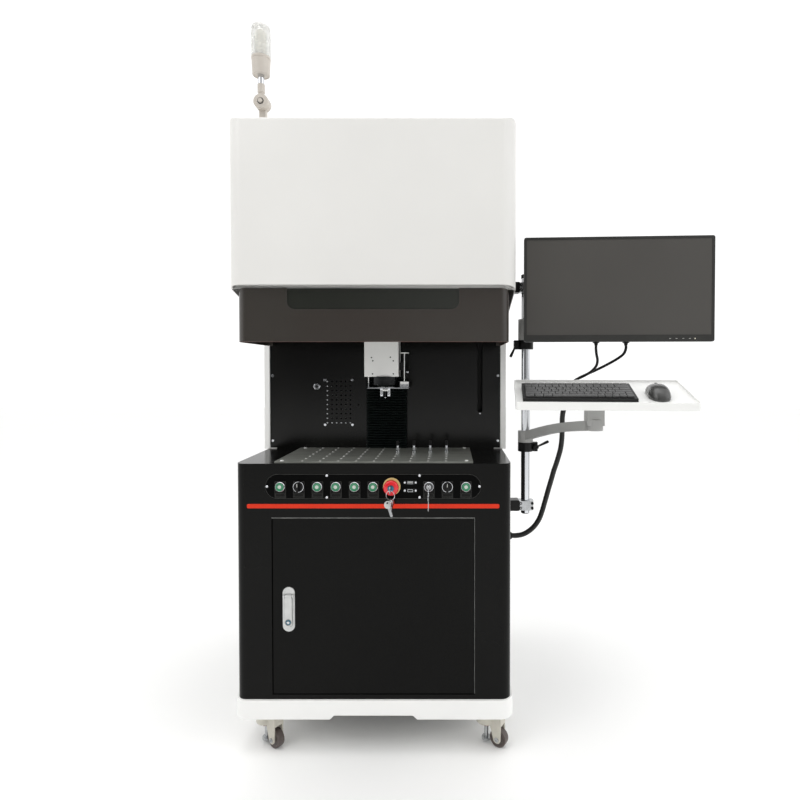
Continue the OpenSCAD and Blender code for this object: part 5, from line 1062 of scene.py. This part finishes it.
for x in (80, 86, 92):
    b.box((x - 1.4, KD - 6, 8.9), (x + 1.4, KD - 4.6, 9.5), LED_WHITE, 0.2, 1, m=CASE)
b.done("keyboard_keys", "tray", "keyboard_black", "keyboard")

# mouse: a lofted shell with a rounded tail and nose
b = Build(TRAY @ at(165, -19.5, FLOOR_Z))
shell = bmesh.new()
rings, COUNT, AROUND = [], 40, 36


def mouse_width(t):
    return 29.6 * max(1 - abs(2 * t - 1) ** 2.7, 0) ** 0.42 * (1 - 0.07 * math.exp(-((t - 0.6) / 0.16) ** 2))


def mouse_height(t):
    return 33.6 * max(1 - abs(2 * t - 1) ** 2.3, 0) ** 0.62 * (1 - 0.28 * max(t - 0.55, 0) ** 0.9)


def mouse_y(t):
    return -54 + 106.5 * t


for i in range(COUNT + 1):
    t = 0.5 - 0.5 * math.cos(math.pi * i / COUNT)
    w, h = max(mouse_width(t), 0.4), max(mouse_height(t), 0.3)
    hoop = []
    for k in range(AROUND + 1):
        a = math.pi * k / AROUND
        c, q = math.cos(a), math.sin(a)
        hoop.append(shell.verts.new((w * math.copysign(abs(c) ** 0.62, c), mouse_y(t),
                                     1.6 + (h - 1.6) * q ** 0.8)))
    for x in (-w * 0.94, w * 0.94):
        hoop.append(shell.verts.new((x, mouse_y(t), 0)))
    rings.append(hoop)
for lo, hi in zip(rings, rings[1:]):
    n = len(lo)
    for k in range(n):
        shell.faces.new((lo[k], lo[(k + 1) % n], hi[(k + 1) % n], hi[k]))
shell.faces.new(rings[0][::-1])
shell.faces.new(rings[-1])
b.take(shell, MOUSE)
b.tube([(0, mouse_y(t), mouse_height(t) - 0.1) for t in (i / 20 for i in range(9, 19))], 0.55, PLASTIC, 8)
for s in (-1, 1):
    b.tube([(s * mouse_width(t) * 0.985, mouse_y(t), 6 + 5 * math.sin(math.pi * t))
            for t in (0.05 * i for i in range(1, 20))], 0.45, PLASTIC, 8)
b.lathe((-3.5, mouse_y(0.76), mouse_height(0.76) - 5.5), RIGHT,
        [(0, 0), (7.4, 0), (8.2, 0.8), (8.2, 6.2), (7.4, 7), (0, 7)], PLASTIC, 48, (24, 0.5, 8))
b.done("mouse_shell", "tray", "mouse_grey", "mouse")

# ---------- floor and light ----------
floor_mesh = bpy.data.meshes.new("floor")
bm = bmesh.new()
bmesh.ops.create_grid(bm, x_segments=1, y_segments=1, size=14)
bm.to_mesh(floor_mesh)
bm.free()
floor_mesh.materials.append(FLOOR)
floor = bpy.data.objects.new("floor", floor_mesh)
floor.location = place(0, 0, 0)
bpy.context.collection.objects.link(floor)


def area(name, spot, to, size, watts, colour=(1, 1, 1)):
    data = bpy.data.lights.new(name, "AREA")
    data.shape = "RECTANGLE"
    data.size, data.size_y, data.energy, data.color = size, size, watts, colour
    lamp = bpy.data.objects.new(name, data)
    lamp.location = place(*spot)
    lamp.rotation_euler = (place(*to) - place(*spot)).to_track_quat("-Z", "Y").to_euler()
    bpy.context.collection.objects.link(lamp)


area("key_light", (-1900, -2200, 3300), (0, 300, 900), 2.4, 26, (1, 0.99, 0.97))
area("fill_light", (2600, -1500, 2600), (100, 300, 900), 2.4, 12, (0.97, 0.98, 1))
area("top_light", (100, 100, 3900), (100, 200, 800), 2.8, 30)

# white studio all round, with a dark card behind the camera, darkest at its left: black fronts stay black
world = bpy.data.worlds.new("studio")
bpy.context.scene.world = world
world.use_nodes = True
nt = world.node_tree
direction, split = node(nt, "TexCoord"), node(nt, "SeparateXYZ")
card = node(nt, "MapRange", From_Min=-0.85, From_Max=-0.35, To_Max=1.15)
across = node(nt, "MapRange", From_Min=-0.30, From_Max=0.20, To_Min=0.10, To_Max=0.48)
card.interpolation_type = across.interpolation_type = "SMOOTHSTEP"
wire(nt, (direction, "Generated", split, "Vector"), (split, "Y", card, "Value"), (split, "X", across, "Value"),
     (across, "Result", card, "To Min"), (card, "Result", nt.nodes["Background"], "Strength"))
nt.nodes["Background"].inputs["Color"].default_value = (1, 1, 1, 1)
bpy.context.scene.view_settings.view_transform = "Standard"
